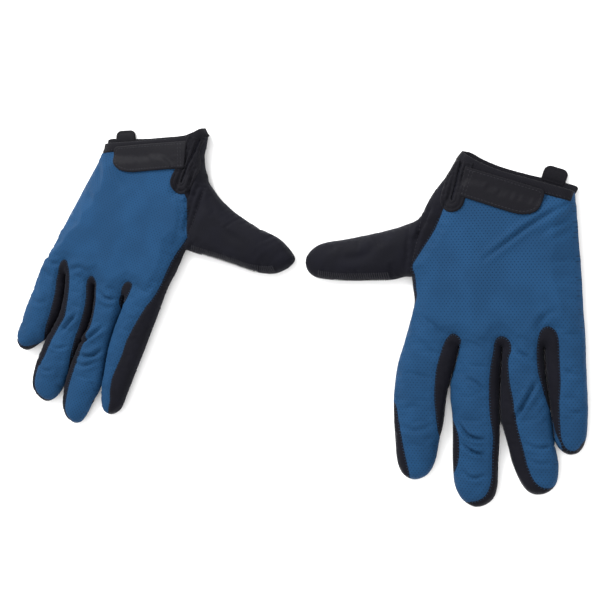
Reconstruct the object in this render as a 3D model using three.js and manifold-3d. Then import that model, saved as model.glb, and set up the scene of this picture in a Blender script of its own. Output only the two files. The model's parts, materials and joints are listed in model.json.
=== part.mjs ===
// A pair of full-finger sailing gloves, lying on their palms with the fingers towards -Y and the cuffs towards +Y.
// Every glove is drawn as a left-hand glove in its own frame: the middle finger's base near the origin, the thumb
// towards -X, the fingers towards -Y and the back up. The right-hand glove is the mirror image of that pattern.
// Each finger, thumb, strap and pull tab is a group whose origin lies on the line it bends about.
import * as THREE from "three";
import { mergeVertices } from "three/addons/utils/BufferGeometryUtils.js";
import Module from "manifold-3d";

const wasm = await Module();
wasm.setup();

// ---- Driving dimensions, in millimetres and degrees ----
const GAP = 0.3; // clearance between neighbouring pieces
const PALM_SKIN = 1.1; // palm leather
const BACK_SKIN = 1.0; // back knit
const WALL_SKIN = 1.1; // side walls between back and palm
const PAD_THICK = 0.7; // heel pad under the palm
const BEVEL = 1.3; // how far the top face of a back piece steps in from its foot
const KNUCKLE_Y = -3; // the line all four fingers bend about
const SLIT_WIDTH = 2.0;
const BINDING_WIDTH = 6.5; // tape round the cuff
const THUMB_LENGTH = 76.5;
const STRAP = { length: 58, width: 22, thick: 1.1, corner: 8, turn: -12.6 };
const PATCH = { length: 26, width: 15, thick: 0.6 };
const TAB = { width: 15.5, length: 12, thick: 1.6, corner: 3 };

// Pattern of the hand, before it is laid out: thumb side and little-finger side, cuff to knuckles.
const CUFF_THUMB = [-26, 118];
const CUFF_LITTLE = [52, 92];
const GORE_EDGE = [[-29, 108], [-34, 99], [-39, 90], [-42.5, 81]];
const THUMB_CROTCH = [-49.5, 43];
const INDEX_EDGE = [[-46, 37.5], [-44, 20], [-44.5, 6]];
const LITTLE_EDGE = [[54, 78], [56, 62], [58.5, 42], [61, 20]];
const KNUCKLE_THUMB_X = -44.8;
const KNUCKLE_LITTLE_X = 62.5;
const GORE_SEAM = [[-45, 46], [-41.5, 55], [-36.5, 66], [-31, 76]]; // black gore to blue back
const SLIT_FOOT = [-24.5, 77]; // lowest point of the slit's binding
const SLIT_TOP = [-17.2, 112];
const SLIT_LEG = 7; // half the width of the slit's binding

// How each glove lies: the lean of the cuff (mm across per mm along), how much it is spread at the knuckles, its
// height, and for every finger the middle of its base, of its tip, its bow, and its width at base, middle and tip.
const FINGER_LENGTH = { index: 92.5, middle: 108, ring: 99.5, little: 71 };
const LEFT = {
  name: "left", at: [132.3, -18.5], turn: 0, mirror: 1, lean: 0.139, spread: 5.5, height: 12.5, drop: 3,
  thumb: { at: [-39.3, 56.4], droop: 5, width: [36, 30.5, 24.5] },
  fingers: {
    index: { base: -30.6, tip: -39, bow: -1.5, width: [31.4, 33.5, 27] },
    middle: { base: 1.6, tip: 1.2, bow: -1, width: [31.2, 32.5, 29] },
    ring: { base: 31.0, tip: 40, bow: -3.2, width: [26.4, 27.2, 27] },
    little: { base: 56.9, tip: 61.5, bow: 0, width: [24.2, 22.6, 20.5] },
  },
};
const RIGHT = {
  name: "right", at: [-132.3, 18.5], turn: -18, mirror: -1, lean: -0.139, spread: -5.5, height: 14, drop: 3.5,
  thumb: { at: [-54.6, 57.4], droop: 2, width: [44, 33, 25.5] },
  fingers: {
    index: { base: -29.2, tip: -25.5, bow: 0.8, width: [27.8, 27.6, 21] },
    middle: { base: -0.9, tip: 1, bow: -0.6, width: [27.2, 24.0, 25] },
    ring: { base: 26.0, tip: 28.5, bow: -2.2, width: [25.3, 24.4, 25.4] },
    little: { base: 48.8, tip: 55.6, bow: -1.2, width: [17.6, 22.8, 21.5] },
  },
};

const BLUE = new THREE.Color(0x2c5179);
const BLACK = new THREE.Color(0x25262d);
const LEATHER = new THREE.Color(0x2b2b31);
const FASTENER = new THREE.Color(0x1c1c20);

// ---- Solids ----

// A closed solid through stacked rings, each a list of [x, y, z] with the same number of points.
function stack(rings) {
  const count = rings[0].length;
  const flat = rings[0].map(([x, y]) => new THREE.Vector2(x, y));
  const counterClockwise = THREE.ShapeUtils.area(flat) > 0;
  const loops = counterClockwise ? rings : rings.map((ring) => [...ring].reverse());
  const cap = THREE.ShapeUtils.triangulateShape(loops[0].map(([x, y]) => new THREE.Vector2(x, y)), []);
  const index = [];
  const last = (loops.length - 1) * count;
  for (const [a, b, c] of cap) {
    index.push(a, c, b);
    index.push(last + a, last + b, last + c);
  }
  for (let level = 0; level + 1 < loops.length; level++) {
    for (let i = 0; i < count; i++) {
      const a = level * count + i;
      const b = level * count + ((i + 1) % count);
      index.push(a, b, b + count);
      index.push(a, b + count, a + count);
    }
  }
  const geometry = new THREE.BufferGeometry();
  geometry.setAttribute("position", new THREE.Float32BufferAttribute(loops.flat(2), 3));
  geometry.setIndex(index);
  return geometry;
}

// A plan outline given a thickness; low and high are heights, or functions of [x, y].
function plate(outline, low, high, topOutline = outline) {
  const height = (z, p) => (typeof z === "function" ? z(p) : z);
  return stack([
    outline.map((p) => [p[0], p[1], height(low, p)]),
    topOutline.map((p) => [p[0], p[1], height(high, p)]),
  ]);
}

function toSolid(geometry) {
  const bare = geometry.clone();
  bare.deleteAttribute("normal");
  bare.deleteAttribute("uv");
  const merged = mergeVertices(bare, 1e-4);
  return new wasm.Manifold(new wasm.Mesh({
    numProp: 3,
    vertProperties: merged.attributes.position.array,
    triVerts: new Uint32Array(merged.index.array),
  }));
}

function toGeometry(solid) {
  const mesh = solid.getMesh();
  const geometry = new THREE.BufferGeometry();
  geometry.setAttribute("position", new THREE.Float32BufferAttribute(mesh.vertProperties, 3));
  geometry.setIndex(new THREE.BufferAttribute(new Uint32Array(mesh.triVerts), 1));
  return geometry;
}

const join = (...pieces) => toGeometry(pieces.map(toSolid).reduce((a, b) => a.add(b)));

function piece(group, name, geometry, color, roughness = 0.85) {
  const material = new THREE.MeshStandardMaterial({ color, roughness, metalness: 0 });
  const mesh = new THREE.Mesh(geometry, material);
  mesh.name = name;
  group.add(mesh);
}

const lerp = (a, b, t) => a + (b - a) * t;

// The line moved sideways by distance, to the left of its direction.
function offset(line, distance) {
  return line.map((p, i) => {
    const a = line[Math.max(i - 1, 0)];
    const b = line[Math.min(i + 1, line.length - 1)];
    const length = Math.hypot(b[0] - a[0], b[1] - a[1]);
    return [p[0] - ((b[1] - a[1]) / length) * distance, p[1] + ((b[0] - a[0]) / length) * distance];
  });
}

const band = (line, thick) => [...line, ...offset(line, thick).reverse()];

// ---- Fingers and thumb ----

// One side of a finger from base to tip, in the finger's frame: side is -1 or 1, inset moves it inwards.
function fingerSide(f, side, inset, from) {
  const round = f.width[2] / 2;
  const straight = f.length - round;
  const centre = (s) => {
    const t = s / f.length;
    return (f.tip - f.base) * t + f.bow * 4 * t * (1 - t);
  };
  const half = (s) => {
    const t = s / straight;
    return (t < 0.45 ? lerp(f.width[0], f.width[1], t / 0.45) : lerp(f.width[1], f.width[2], (t - 0.45) / 0.55)) / 2;
  };
  const points = [];
  if (f.corner) {
    const [x, y] = f.corner[side];
    points.push([x - side * inset, y - from]);
  } else {
    points.push([side * (half(from) - inset), -from]);
  }
  for (const t of [0.2, 0.4, 0.6, 0.8, 0.92]) {
    points.push([centre(t * straight) + side * (half(t * straight) - inset), -t * straight]);
  }
  for (const degrees of [0, 18, 36, 54, 72, 88]) {
    const a = (degrees * Math.PI) / 180;
    const s = straight + (round - inset) * Math.sin(a);
    points.push([centre(s) + side * (half(straight) - inset) * Math.cos(a), -s]);
  }
  return points;
}

const fingerOutline = (f, inset, from) => [
  ...fingerSide(f, -1, inset, from),
  ...fingerSide(f, 1, inset, from).reverse(),
];

function finger(glove, group, name, f) {
  const start = GAP / 2;
  const top = ([, y]) => f.height + (f.drop * y) / f.length;
  const under = (p) => top(p) - BACK_SKIN;
  piece(group, `${name}_palm`, plate(fingerOutline(f, 0.6, start), 0, PALM_SKIN, fingerOutline(f, 0, start)), LEATHER);
  piece(group, `${name}_back`,
    plate(fingerOutline(f, 0, start), under, top, fingerOutline(f, BEVEL, start)), f.color);
  for (const [label, side] of [["inner_side", -1], ["outer_side", 1]]) {
    const outline = [...fingerSide(f, side, 0, start), ...fingerSide(f, side, WALL_SKIN, start).reverse()];
    piece(group, `${name}_${label}`, plate(outline, PALM_SKIN + GAP, (p) => under(p) - GAP), BLACK);
  }
}

// The thumb is a lower and an upper shell that meet along a seam at half height.
function thumb(glove, group, f) {
  const start = 2 * GAP;
  const top = ([, y]) => f.height + (f.drop * y) / f.length;
  const middle = (p) => top(p) / 2;
  const rim = [...fingerSide(f, -1, 0, start), ...fingerSide(f, 1, 0, start).reverse(),
    ...fingerSide(f, 1, WALL_SKIN, start), ...fingerSide(f, -1, WALL_SKIN, start).reverse()];
  const outline = fingerOutline(f, 0, start);
  const lower = join(plate(outline, 0, PALM_SKIN), plate(rim, PALM_SKIN / 2, (p) => middle(p) - GAP / 2));
  const upper = join(plate(outline, (p) => top(p) - BACK_SKIN, top, fingerOutline(f, BEVEL, start)),
    plate(rim, (p) => middle(p) + GAP / 2, (p) => top(p) - BACK_SKIN / 2 - 0.2));
  piece(group, `${glove.name}_thumb_palm`, lower, LEATHER);
  piece(group, `${glove.name}_thumb_back`, upper, BLACK, 0.9);
}

// ---- Strap, fastener and pull tab ----

function roundedEnd(length, width, corner) {
  const half = width / 2;
  const points = [[1.5, -half]];
  for (const sign of [-1, 1]) {
    for (const degrees of [0, 30, 60, 90]) {
      const a = (degrees * Math.PI) / 180;
      const along = sign < 0 ? Math.sin(a) : Math.cos(a);
      const across = sign < 0 ? Math.cos(a) : Math.sin(a);
      points.push([length - corner + corner * along, sign * (half - corner + corner * across)]);
    }
  }
  points.push([1.5, half]);
  return points;
}

const rectangle = (x0, y0, x1, y1) => [[x0, y0], [x1, y0], [x1, y1], [x0, y1]];

function strap(glove, group) {
  const outline = roundedEnd(STRAP.length, STRAP.width, STRAP.corner);
  piece(group, `${glove.name}_closure_strap`, plate(outline, 0.2, 0.2 + STRAP.thick), BLACK);
  const end = STRAP.length - 4;
  const patch = rectangle(end - PATCH.length, -PATCH.width / 2, end, PATCH.width / 2);
  piece(group, `${glove.name}_hook_patch`, plate(patch, 0.2 - GAP - PATCH.thick, 0.2 - GAP), FASTENER, 0.95);
  return patch;
}

function tab(glove, group) {
  const half = TAB.width / 2;
  const outline = [[-half, GAP / 2], [half, GAP / 2], [half, TAB.length - TAB.corner],
    [half - TAB.corner, TAB.length], [-half + TAB.corner, TAB.length], [-half, TAB.length - TAB.corner]];
  piece(group, `${glove.name}_pull_tab`, plate(outline, -TAB.thick, 0), BLACK);
}

// ---- The hand ----

function makeGlove(glove) {
  const whole = new THREE.Group();
  whole.position.set(glove.at[0], glove.at[1], 0);
  whole.rotation.z = THREE.MathUtils.degToRad(glove.turn);
  whole.scale.x = glove.mirror;

  // A pattern point laid on the table.
  const lay = ([x, y]) => {
    const share = (x - KNUCKLE_THUMB_X) / (KNUCKLE_LITTLE_X - KNUCKLE_THUMB_X);
    return [x + glove.lean * Math.max(y, 0) + glove.spread * share * (1 - Math.max(y, 0) / 95), y];
  };
  const laid = (points) => points.map(lay);
  const top = glove.height;
  const palmLow = PAD_THICK + GAP;
  const palmHigh = palmLow + PALM_SKIN;
  const wallLow = palmHigh + GAP;
  const wallHigh = top - BACK_SKIN - GAP;
  const knuckle = KNUCKLE_Y + GAP / 2;

  // Points on the cuff line, and the same line a distance down the hand.
  const cuffLength = Math.hypot(CUFF_LITTLE[0] - CUFF_THUMB[0], CUFF_LITTLE[1] - CUFF_THUMB[1]);
  const across = [(CUFF_LITTLE[0] - CUFF_THUMB[0]) / cuffLength, (CUFF_LITTLE[1] - CUFF_THUMB[1]) / cuffLength];
  const cuffPoint = (u, down) => [
    CUFF_THUMB[0] + across[0] * u + across[1] * down,
    CUFF_THUMB[1] + across[1] * u - across[0] * down,
  ];
  const below = BINDING_WIDTH + GAP;
  const slitU = 9; // where the slit meets the cuff, measured from the thumb side
  const gapU = (SLIT_WIDTH + 0.6) / 2;

  const littleEdge = [cuffPoint(cuffLength, below), ...LITTLE_EDGE, [KNUCKLE_LITTLE_X, knuckle]];
  const goreEdge = [cuffPoint(-0.6, below), ...GORE_EDGE.slice(1)];
  const indexEdge = [...INDEX_EDGE, [KNUCKLE_THUMB_X, knuckle]];
  const thumbOpening = offset([GORE_EDGE[3], THUMB_CROTCH], GAP);

  // Palm, from the cuff to the knuckles.
  const palm = [...goreEdge.slice(0, -1), ...thumbOpening, ...indexEdge, ...[...littleEdge].reverse()];
  piece(whole, `${glove.name}_palm_panel`, plate(laid(palm), palmLow, palmHigh), LEATHER);

  // Padded heel under the palm.
  const heel = [[-10, 84], [-22, 70], [-26, 52], [-18, 40], [0, 36], [22, 34], [40, 38], [47, 52], [47, 68], [40, 80],
    [16, 86]];
  piece(whole, `${glove.name}_heel_pad`, plate(laid(heel), 0, PAD_THICK), LEATHER);

  // Slit binding: a U with its foot on the back of the hand and its legs up to the cuff.
  const slitFoot = [];
  const axis = Math.atan2(SLIT_TOP[1] - SLIT_FOOT[1], SLIT_TOP[0] - SLIT_FOOT[0]);
  const reach = Math.hypot(SLIT_TOP[0] - SLIT_FOOT[0], SLIT_TOP[1] - SLIT_FOOT[1]);
  const slitPoint = (s, w) => [
    SLIT_FOOT[0] + Math.cos(axis) * s + Math.sin(axis) * w,
    SLIT_FOOT[1] + Math.sin(axis) * s - Math.cos(axis) * w,
  ];
  for (const degrees of [180, 150, 120, 90, 60, 30, 0]) {
    const a = (degrees * Math.PI) / 180;
    slitFoot.push([SLIT_LEG * (1 - Math.sin(a)), SLIT_LEG * Math.cos(a)]);
  }
  const legTop = reach - BINDING_WIDTH - 1.5;
  const slitOuter = (grow) => [
    slitPoint(legTop, -SLIT_LEG - grow),
    ...slitFoot.map(([s, w]) => slitPoint(SLIT_LEG + ((s - SLIT_LEG) * (SLIT_LEG + grow)) / SLIT_LEG,
      (w * (SLIT_LEG + grow)) / SLIT_LEG)),
    slitPoint(legTop, SLIT_LEG + grow),
  ];
  const slitInner = [slitPoint(legTop, SLIT_WIDTH / 2), slitPoint(9, SLIT_WIDTH / 2), slitPoint(8, 0),
    slitPoint(9, -SLIT_WIDTH / 2), slitPoint(legTop, -SLIT_WIDTH / 2)];
  piece(whole, `${glove.name}_slit_binding`,
    plate(laid([...slitOuter(0), ...slitInner]), top - BACK_SKIN, top + 0.6), BLACK, 0.95);

  // Blue back, from the cuff tape round the slit and down to the knuckles.
  const slitRight = slitOuter(GAP).slice(2);
  const backCuff = [cuffPoint(slitU + SLIT_LEG + 1.5, below), cuffPoint(cuffLength - 0.6, below)];
  const seam = [...GORE_SEAM].reverse();
  const backFront = [[KNUCKLE_THUMB_X + 0.4, knuckle]];
  const back = [...[...slitRight].reverse(), ...seam, [-43.6, 37.5], [-42.8, 20], [-43.6, 6], ...backFront,
    ...[[KNUCKLE_LITTLE_X, knuckle], ...[...LITTLE_EDGE].reverse()], backCuff[1], backCuff[0]];
  piece(whole, `${glove.name}_back_panel`, plate(laid([...back].reverse()), top - BACK_SKIN, top), BLUE, 0.8);

  // Black gore between the blue back and the thumb, with its side wall down to the palm.
  const slitLeft = slitOuter(GAP).slice(0, 2);
  const goreTop = [...goreEdge.slice(0, -1), ...thumbOpening, [-46.2, 45.5],
    ...offset(GORE_SEAM, GAP), ...[...slitLeft].reverse(), cuffPoint(slitU - SLIT_LEG - 0.5, below)];
  const goreSide = band([goreEdge[0], ...goreEdge.slice(1)], WALL_SKIN);
  const gore = join(plate(laid(goreTop), top - BACK_SKIN, top), plate(laid(goreSide), wallLow, top - BACK_SKIN / 2));
  piece(whole, `${glove.name}_thumb_gore`, gore, BLACK, 0.9);

  // Walls between back and palm, beside the index finger and along the little-finger side.
  piece(whole, `${glove.name}_index_side`, plate(band(laid(indexEdge), WALL_SKIN), wallLow, wallHigh), BLACK);
  piece(whole, `${glove.name}_heel_side`, plate(band(laid(littleEdge), -WALL_SKIN), wallLow, wallHigh), BLACK);

  // Tape round the cuff, open at the slit.
  const tape = (u0, u1, low, high) =>
    plate(laid([cuffPoint(u0, 0), cuffPoint(u0, BINDING_WIDTH), cuffPoint(u1, BINDING_WIDTH), cuffPoint(u1, 0)]),
      low, high);
  const tapeLow = palmLow - 0.2;
  const tapeHigh = top + 0.2;
  const cuff = join(
    tape(0, cuffLength, tapeLow, tapeLow + 1.4),
    tape(0, 1.4, tapeLow, tapeHigh),
    tape(cuffLength - 1.4, cuffLength, tapeLow, tapeHigh),
    tape(0, slitU - gapU, tapeHigh - 1.4, tapeHigh),
    tape(slitU + gapU, cuffLength, tapeHigh - 1.4, tapeHigh),
  );
  piece(whole, `${glove.name}_cuff_binding`, cuff, BLACK, 0.95);

  // Strap, hinged where it is sewn beside the slit, with its fastener.
  const strapGroup = new THREE.Group();
  strapGroup.name = `${glove.name}_strap`;
  const root = lay([-21, 100]);
  const fastenerLow = top + 0.2;
  strapGroup.position.set(root[0], root[1], fastenerLow + 2 * PATCH.thick + 2 * GAP - 0.2);
  strapGroup.rotation.z = THREE.MathUtils.degToRad(STRAP.turn);
  const patch = strap(glove, strapGroup);
  whole.add(strapGroup);
  const turned = patch.map(([x, y]) => {
    const v = new THREE.Vector3(x, y, 0).applyEuler(strapGroup.rotation);
    return [root[0] + v.x, root[1] + v.y];
  });
  piece(whole, `${glove.name}_loop_patch`, plate(turned, fastenerLow, fastenerLow + PATCH.thick), FASTENER, 0.95);

  // Pull tab, on the palm side of the cuff, hinged along its upper edge so that it can fold up.
  const tabGroup = new THREE.Group();
  tabGroup.name = `${glove.name}_tab`;
  const tabAt = lay(cuffPoint(cuffLength - 17, 0));
  tabGroup.position.set(tabAt[0], tabAt[1], tapeLow + TAB.thick);
  const left = lay(cuffPoint(0, 0));
  const right = lay(cuffPoint(cuffLength, 0));
  tabGroup.rotation.z = Math.atan2(right[1] - left[1], right[0] - left[0]);
  tab(glove, tabGroup);
  whole.add(tabGroup);

  // Fingers.
  for (const [name, lie] of Object.entries(glove.fingers)) {
    const group = new THREE.Group();
    group.name = `${glove.name}_${name}`;
    group.position.set(lie.base, KNUCKLE_Y, 0);
    const shape = { ...lie, length: FINGER_LENGTH[name], height: top, drop: glove.drop, color: BLUE };
    finger(glove, group, group.name, shape);
    whole.add(group);
  }

  // Thumb, set on the line between the foot of the gore's edge and the crotch.
  const thumbGroup = new THREE.Group();
  thumbGroup.name = `${glove.name}_thumb`;
  const [highEnd, lowEnd] = laid([GORE_EDGE[3], THUMB_CROTCH]);
  const { at, droop, width } = glove.thumb;
  thumbGroup.position.set(at[0], at[1], 0);
  thumbGroup.rotation.z = THREE.MathUtils.degToRad(droop - 90);
  thumbGroup.updateMatrix();
  const [high, low] = [highEnd, lowEnd].map((p) => {
    const v = new THREE.Vector3(p[0], p[1], 0).applyMatrix4(thumbGroup.matrix.clone().invert());
    return [v.x, v.y];
  });
  thumb(glove, thumbGroup, {
    base: 0, tip: 0, bow: 0, width, length: THUMB_LENGTH, height: top - 1, drop: 2.5,
    corner: { "-1": high, 1: low },
  });
  whole.add(thumbGroup);
  return whole;
}

const gloves = new THREE.Group();
gloves.add(makeGlove(LEFT), makeGlove(RIGHT));

// The origin is under the middle of the pair, on the surface it lies on.
const box = new THREE.Box3().setFromObject(gloves, true);
const pair = new THREE.Group();
gloves.position.set(-(box.min.x + box.max.x) / 2, -(box.min.y + box.max.y) / 2, -box.min.z);
pair.add(gloves);
export default pair;
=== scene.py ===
import json
import math

import bmesh
import bpy
import numpy as np
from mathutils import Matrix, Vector
from mathutils.bvhtree import BVHTree
from mathutils.geometry import delaunay_2d_cdt


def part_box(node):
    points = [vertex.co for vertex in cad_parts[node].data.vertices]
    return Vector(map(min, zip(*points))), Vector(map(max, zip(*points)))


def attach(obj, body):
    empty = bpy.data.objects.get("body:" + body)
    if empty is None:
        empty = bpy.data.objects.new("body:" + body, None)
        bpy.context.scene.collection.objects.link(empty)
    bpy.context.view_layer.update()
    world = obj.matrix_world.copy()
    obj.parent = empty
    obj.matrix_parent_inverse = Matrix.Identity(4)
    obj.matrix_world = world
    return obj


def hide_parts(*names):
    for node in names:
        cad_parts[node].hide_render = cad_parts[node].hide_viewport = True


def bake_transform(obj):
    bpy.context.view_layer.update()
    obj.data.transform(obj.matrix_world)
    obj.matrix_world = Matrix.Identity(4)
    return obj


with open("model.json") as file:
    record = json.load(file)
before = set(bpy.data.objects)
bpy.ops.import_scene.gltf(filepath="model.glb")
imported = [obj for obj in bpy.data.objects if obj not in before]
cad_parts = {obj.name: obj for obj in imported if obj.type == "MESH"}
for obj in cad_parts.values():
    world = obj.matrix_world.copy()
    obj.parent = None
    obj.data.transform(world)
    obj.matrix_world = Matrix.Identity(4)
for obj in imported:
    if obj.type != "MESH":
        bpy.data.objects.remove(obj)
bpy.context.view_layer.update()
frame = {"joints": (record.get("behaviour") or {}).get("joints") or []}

MM = 0.001
FINGERS = ("index", "middle", "ring", "little")
JOINTS = {joint["name"]: joint for joint in frame["joints"]}

# ---- Driving dimensions, in millimetres ----
GRID = 1.45  # spacing of the cloth's vertices
SKIN = 0.7  # thickness of a panel
KNUCKLE_Y = -3.0  # the line the fingers bend about
WEB_Y = -8.0  # the line where the fingers part
BEND = 16.0  # length of cloth that turns at a knuckle or at the thumb
SIDE_ROUND = 10.0  # radius of the rounded sides, seen in plan
PALM_ROUND = 7.0
PALM_REST = 0.35  # fingers' lowest point above the table
HAND_REST = 1.1  # palm above its heel pad
PALM_SEAM = 3.2  # the side walls reach this far under the palm
WAIST = 0.42  # height of the widest line, as a share of the whole
TAPE = 6.4  # width of the cuff tape
FINGER_GAP = 0.3  # between fingers that lie against each other
# Painted shade: the back's cloth within this distance of the slit is black stretch, not blue mesh, and shows as the
# dark of the open slit through the gap in its binding.
UNDER_SLIT = 3.0
FOLD_DEPTH = 2.2
FINGER_REACH = 108.0  # length of the middle finger
THUMB_REACH = 78.0

# ---- Patterns ----
# Outlines run from the cuff on the thumb side, round the thumb and every finger, to the cuff on the other side.
# Each finger's run starts and ends at the webs beside it.
LEFT = {
    "side": "left",
    "mirror": 1,
    "index_x": -30.6,
    "height": 12.5,
    "drop": 3.0,
    "thumb_run": [(-8, 119), (-13, 112), (-18.3, 103.3), (-25, 95), (-30, 87.5), (-34.2, 78.5), (-38.3, 75),
        (-45, 72.3), (-55, 69.5), (-65, 67.2), (-75, 65.5), (-85, 63.8), (-95, 62.4), (-103, 61.1), (-109, 58.6),
        (-114, 54), (-116, 49), (-114.9, 43.3), (-111, 39.2), (-105, 37), (-95, 35.6), (-85, 35), (-72, 35),
        (-58, 35.3), (-51.7, 36.4), (-46, 37.8), (-41.4, 37.6)],
    "finger_runs": {
        "index": [(-41.2, 37), (-40.6, 31), (-39.6, 20), (-43.3, 5), (-46.7, -6.7), (-50.5, -18.3), (-52.5, -30),
            (-53.7, -42), (-53.7, -55), (-52.9, -68), (-52, -81), (-50, -89), (-46.5, -93.8), (-41, -96),
            (-35.5, -95), (-30, -91), (-25.7, -82.5), (-23, -68.5), (-20.4, -58), (-18.4, -42), (-16.3, -31),
            (-13, -20), (-10, -8)],
        "middle": [(-9.4, -8), (-12.3, -20), (-15.2, -31), (-15.8, -41.7), (-14.5, -52), (-14.2, -65),
            (-14.3, -82), (-13.3, -96), (-10.8, -103.5), (-6.7, -108.5), (0, -111.6), (6.7, -110),
            (12.2, -105.2), (14.7, -97), (15.3, -83), (16.2, -67), (16.3, -55), (16.1, -40), (16.6, -25),
            (17.8, -8)],
        "ring": [(18.4, -8), (17.3, -25), (16.9, -40), (17.2, -54), (18.6, -60.5), (21.7, -71.7), (24.2, -81.7),
            (28.3, -91.7), (33, -98.6), (38, -101.2), (44, -100.6), (49.2, -97.3), (52.3, -92), (53.2, -84),
            (52.3, -75), (50.4, -66), (48.4, -50), (46.4, -35), (44.9, -20), (44.2, -8)],
        "little": [(44.8, -8), (45.6, -20), (47.1, -35), (49.1, -50), (51.2, -65), (53.3, -70.6), (56.8, -73.8),
            (61, -74.9), (65.8, -73), (69.2, -67.5), (70.8, -59), (71.2, -41.7), (70.3, -21.7), (69.7, -1.7),
            (68.3, 18.3), (66.8, 45), (65, 68.3), (63.6, 84), (63.2, 90)],
    },
    "back_cuff": [(63.2, 90), (50, 94), (35, 98.8), (18, 104.2), (5, 110), (-4, 115.5), (-8, 119)],
    "palm_cuff": [(63.2, 90), (64.2, 93.6), (50, 98), (35, 102), (18, 107.4), (5, 113.2), (-3, 118), (-8, 119)],
    "thumb_seam": [(-33.4, 79.6), (-35.2, 66), (-37.8, 54), (-40, 45), (-41.3, 37.3)],
    "back_edge": [
        [(-19.5, 80), (-22.5, 72.5), (-26.5, 65), (-31, 58), (-35.5, 51), (-39.6, 44.5)],
        [(-39.6, 44.5), (-38, 38), (-37.6, 30), (-38, 22), (-46, 0)],
        [(-46, 0), (-60, -5), (-60, -42)],
        [(-60, -42), (-52.2, -46), (-49.5, -57), (-46.8, -71), (-44.2, -83), (-42.5, -92), (-43, -102)],
        [(-43, -102), (-24, -102), (-22.5, -90)],
        [(-22.5, -90), (-21.8, -80), (-22.8, -67), (-24, -55), (-25, -42), (-24.4, -28), (-22.5, -18),
            (-19.3, -8), (-16.2, -2), (-12.5, 0.6), (-8.6, -1.8), (-7.6, -5), (-9.7, -8)],
        [(-9.7, -8), (-12.7, -20), (-15.7, -31), (-17.3, -40), (-17.5, -52)],
        [(-17.5, -52), (-12.8, -57), (-10, -64), (-9, -72), (-10, -82), (-13, -90), (-18, -93)],
        [(-18, -93), (-18, -106), (-11, -112)],
        [(-11, -112), (-6, -109.2), (-1, -108), (4.5, -106), (8.6, -102), (11.5, -94), (12.2, -80), (12.8, -65),
            (11, -51.7), (10.5, -35), (11.3, -21.7), (13.2, -11.7), (14.2, -5), (16.4, -1.6), (20, -1.2),
            (23.8, -4.4), (24.4, -10), (22.6, -16), (23.3, -28.3), (25.8, -41.7), (28.4, -58.3), (32.3, -73.3),
            (34.8, -83.3), (38.7, -91.8), (44, -96.3), (49.4, -96), (55, -91)],
        [(55, -91), (57, -80), (55, -68)],
        [(55, -68), (52, -62), (49.2, -51.7), (45, -36.7), (41.8, -25), (40.6, -15), (41, -5), (43, 2.4),
            (46.6, 5.6), (51, 4.2), (54, -1.7), (54.6, -15), (55.2, -28.3), (54.4, -41.7), (54.6, -56),
            (55.6, -65), (58, -70.2), (61.5, -72.2), (65.5, -71), (69, -66), (76, -58)],
        [(76, -58), (80, 20), (80, 125), (-4, 125)],
        [(-4, 125), (-8, 110), (-14, 92), (-19.5, 80)],
    ],
    "slit": {"foot": (-14.6, 79), "top": (-5.8, 115.5)},
    "strap_turn": 6.0,
    "strap_length": 54.0,
    "strap_drop": 1.2,
    "folds": [
        ((62, 84), (48, 76), (34, 67.5), (20, 57), (8, 48), 0.75, 2.4), ((64, 74), (54, 70), (42, 62), 0.3, 2.6),
        ((-3, -28), (3, -31), (9, -36), 0.6, 1.9), ((-9, -58), (-2, -65), (7, -67), 1.4, 1.8),
        ((-8, -70), (0, -75), (8, -77), 1.0, 1.7), ((-7, -88), (0, -92), (7, -90), 0.7, 1.8),
        ((40, -30), (33, -43), (27, -53), 1.15, 2.2), ((26, -8), (33, -13), (39, -18), 0.5, 2.2),
        ((33, -68), (41, -71), (51, -69), 0.5, 2.0), ((34, -78), (43, -81), (51, -79), 0.4, 2.0),
        ((-40, -4), (-30, -8), (-24, -14), 0.35, 3.0), ((-49, -60), (-38, -63), (-27, -60), 0.35, 2.6),
        ((-38, 60), (-33, 70), (-27, 84), 0.7, 2.0), ((-60, 62), (-72, 52), (-90, 50), 0.35, 5.0),
        ((41, 2), (44, 10), (52, 16), 0.4, 3.0), ((57, -20), (62, -24), (68, -24), 0.35, 2.2),
        ((57, -44), (62, -48), (69, -47), 0.35, 2.2),
    ],
}
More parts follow.
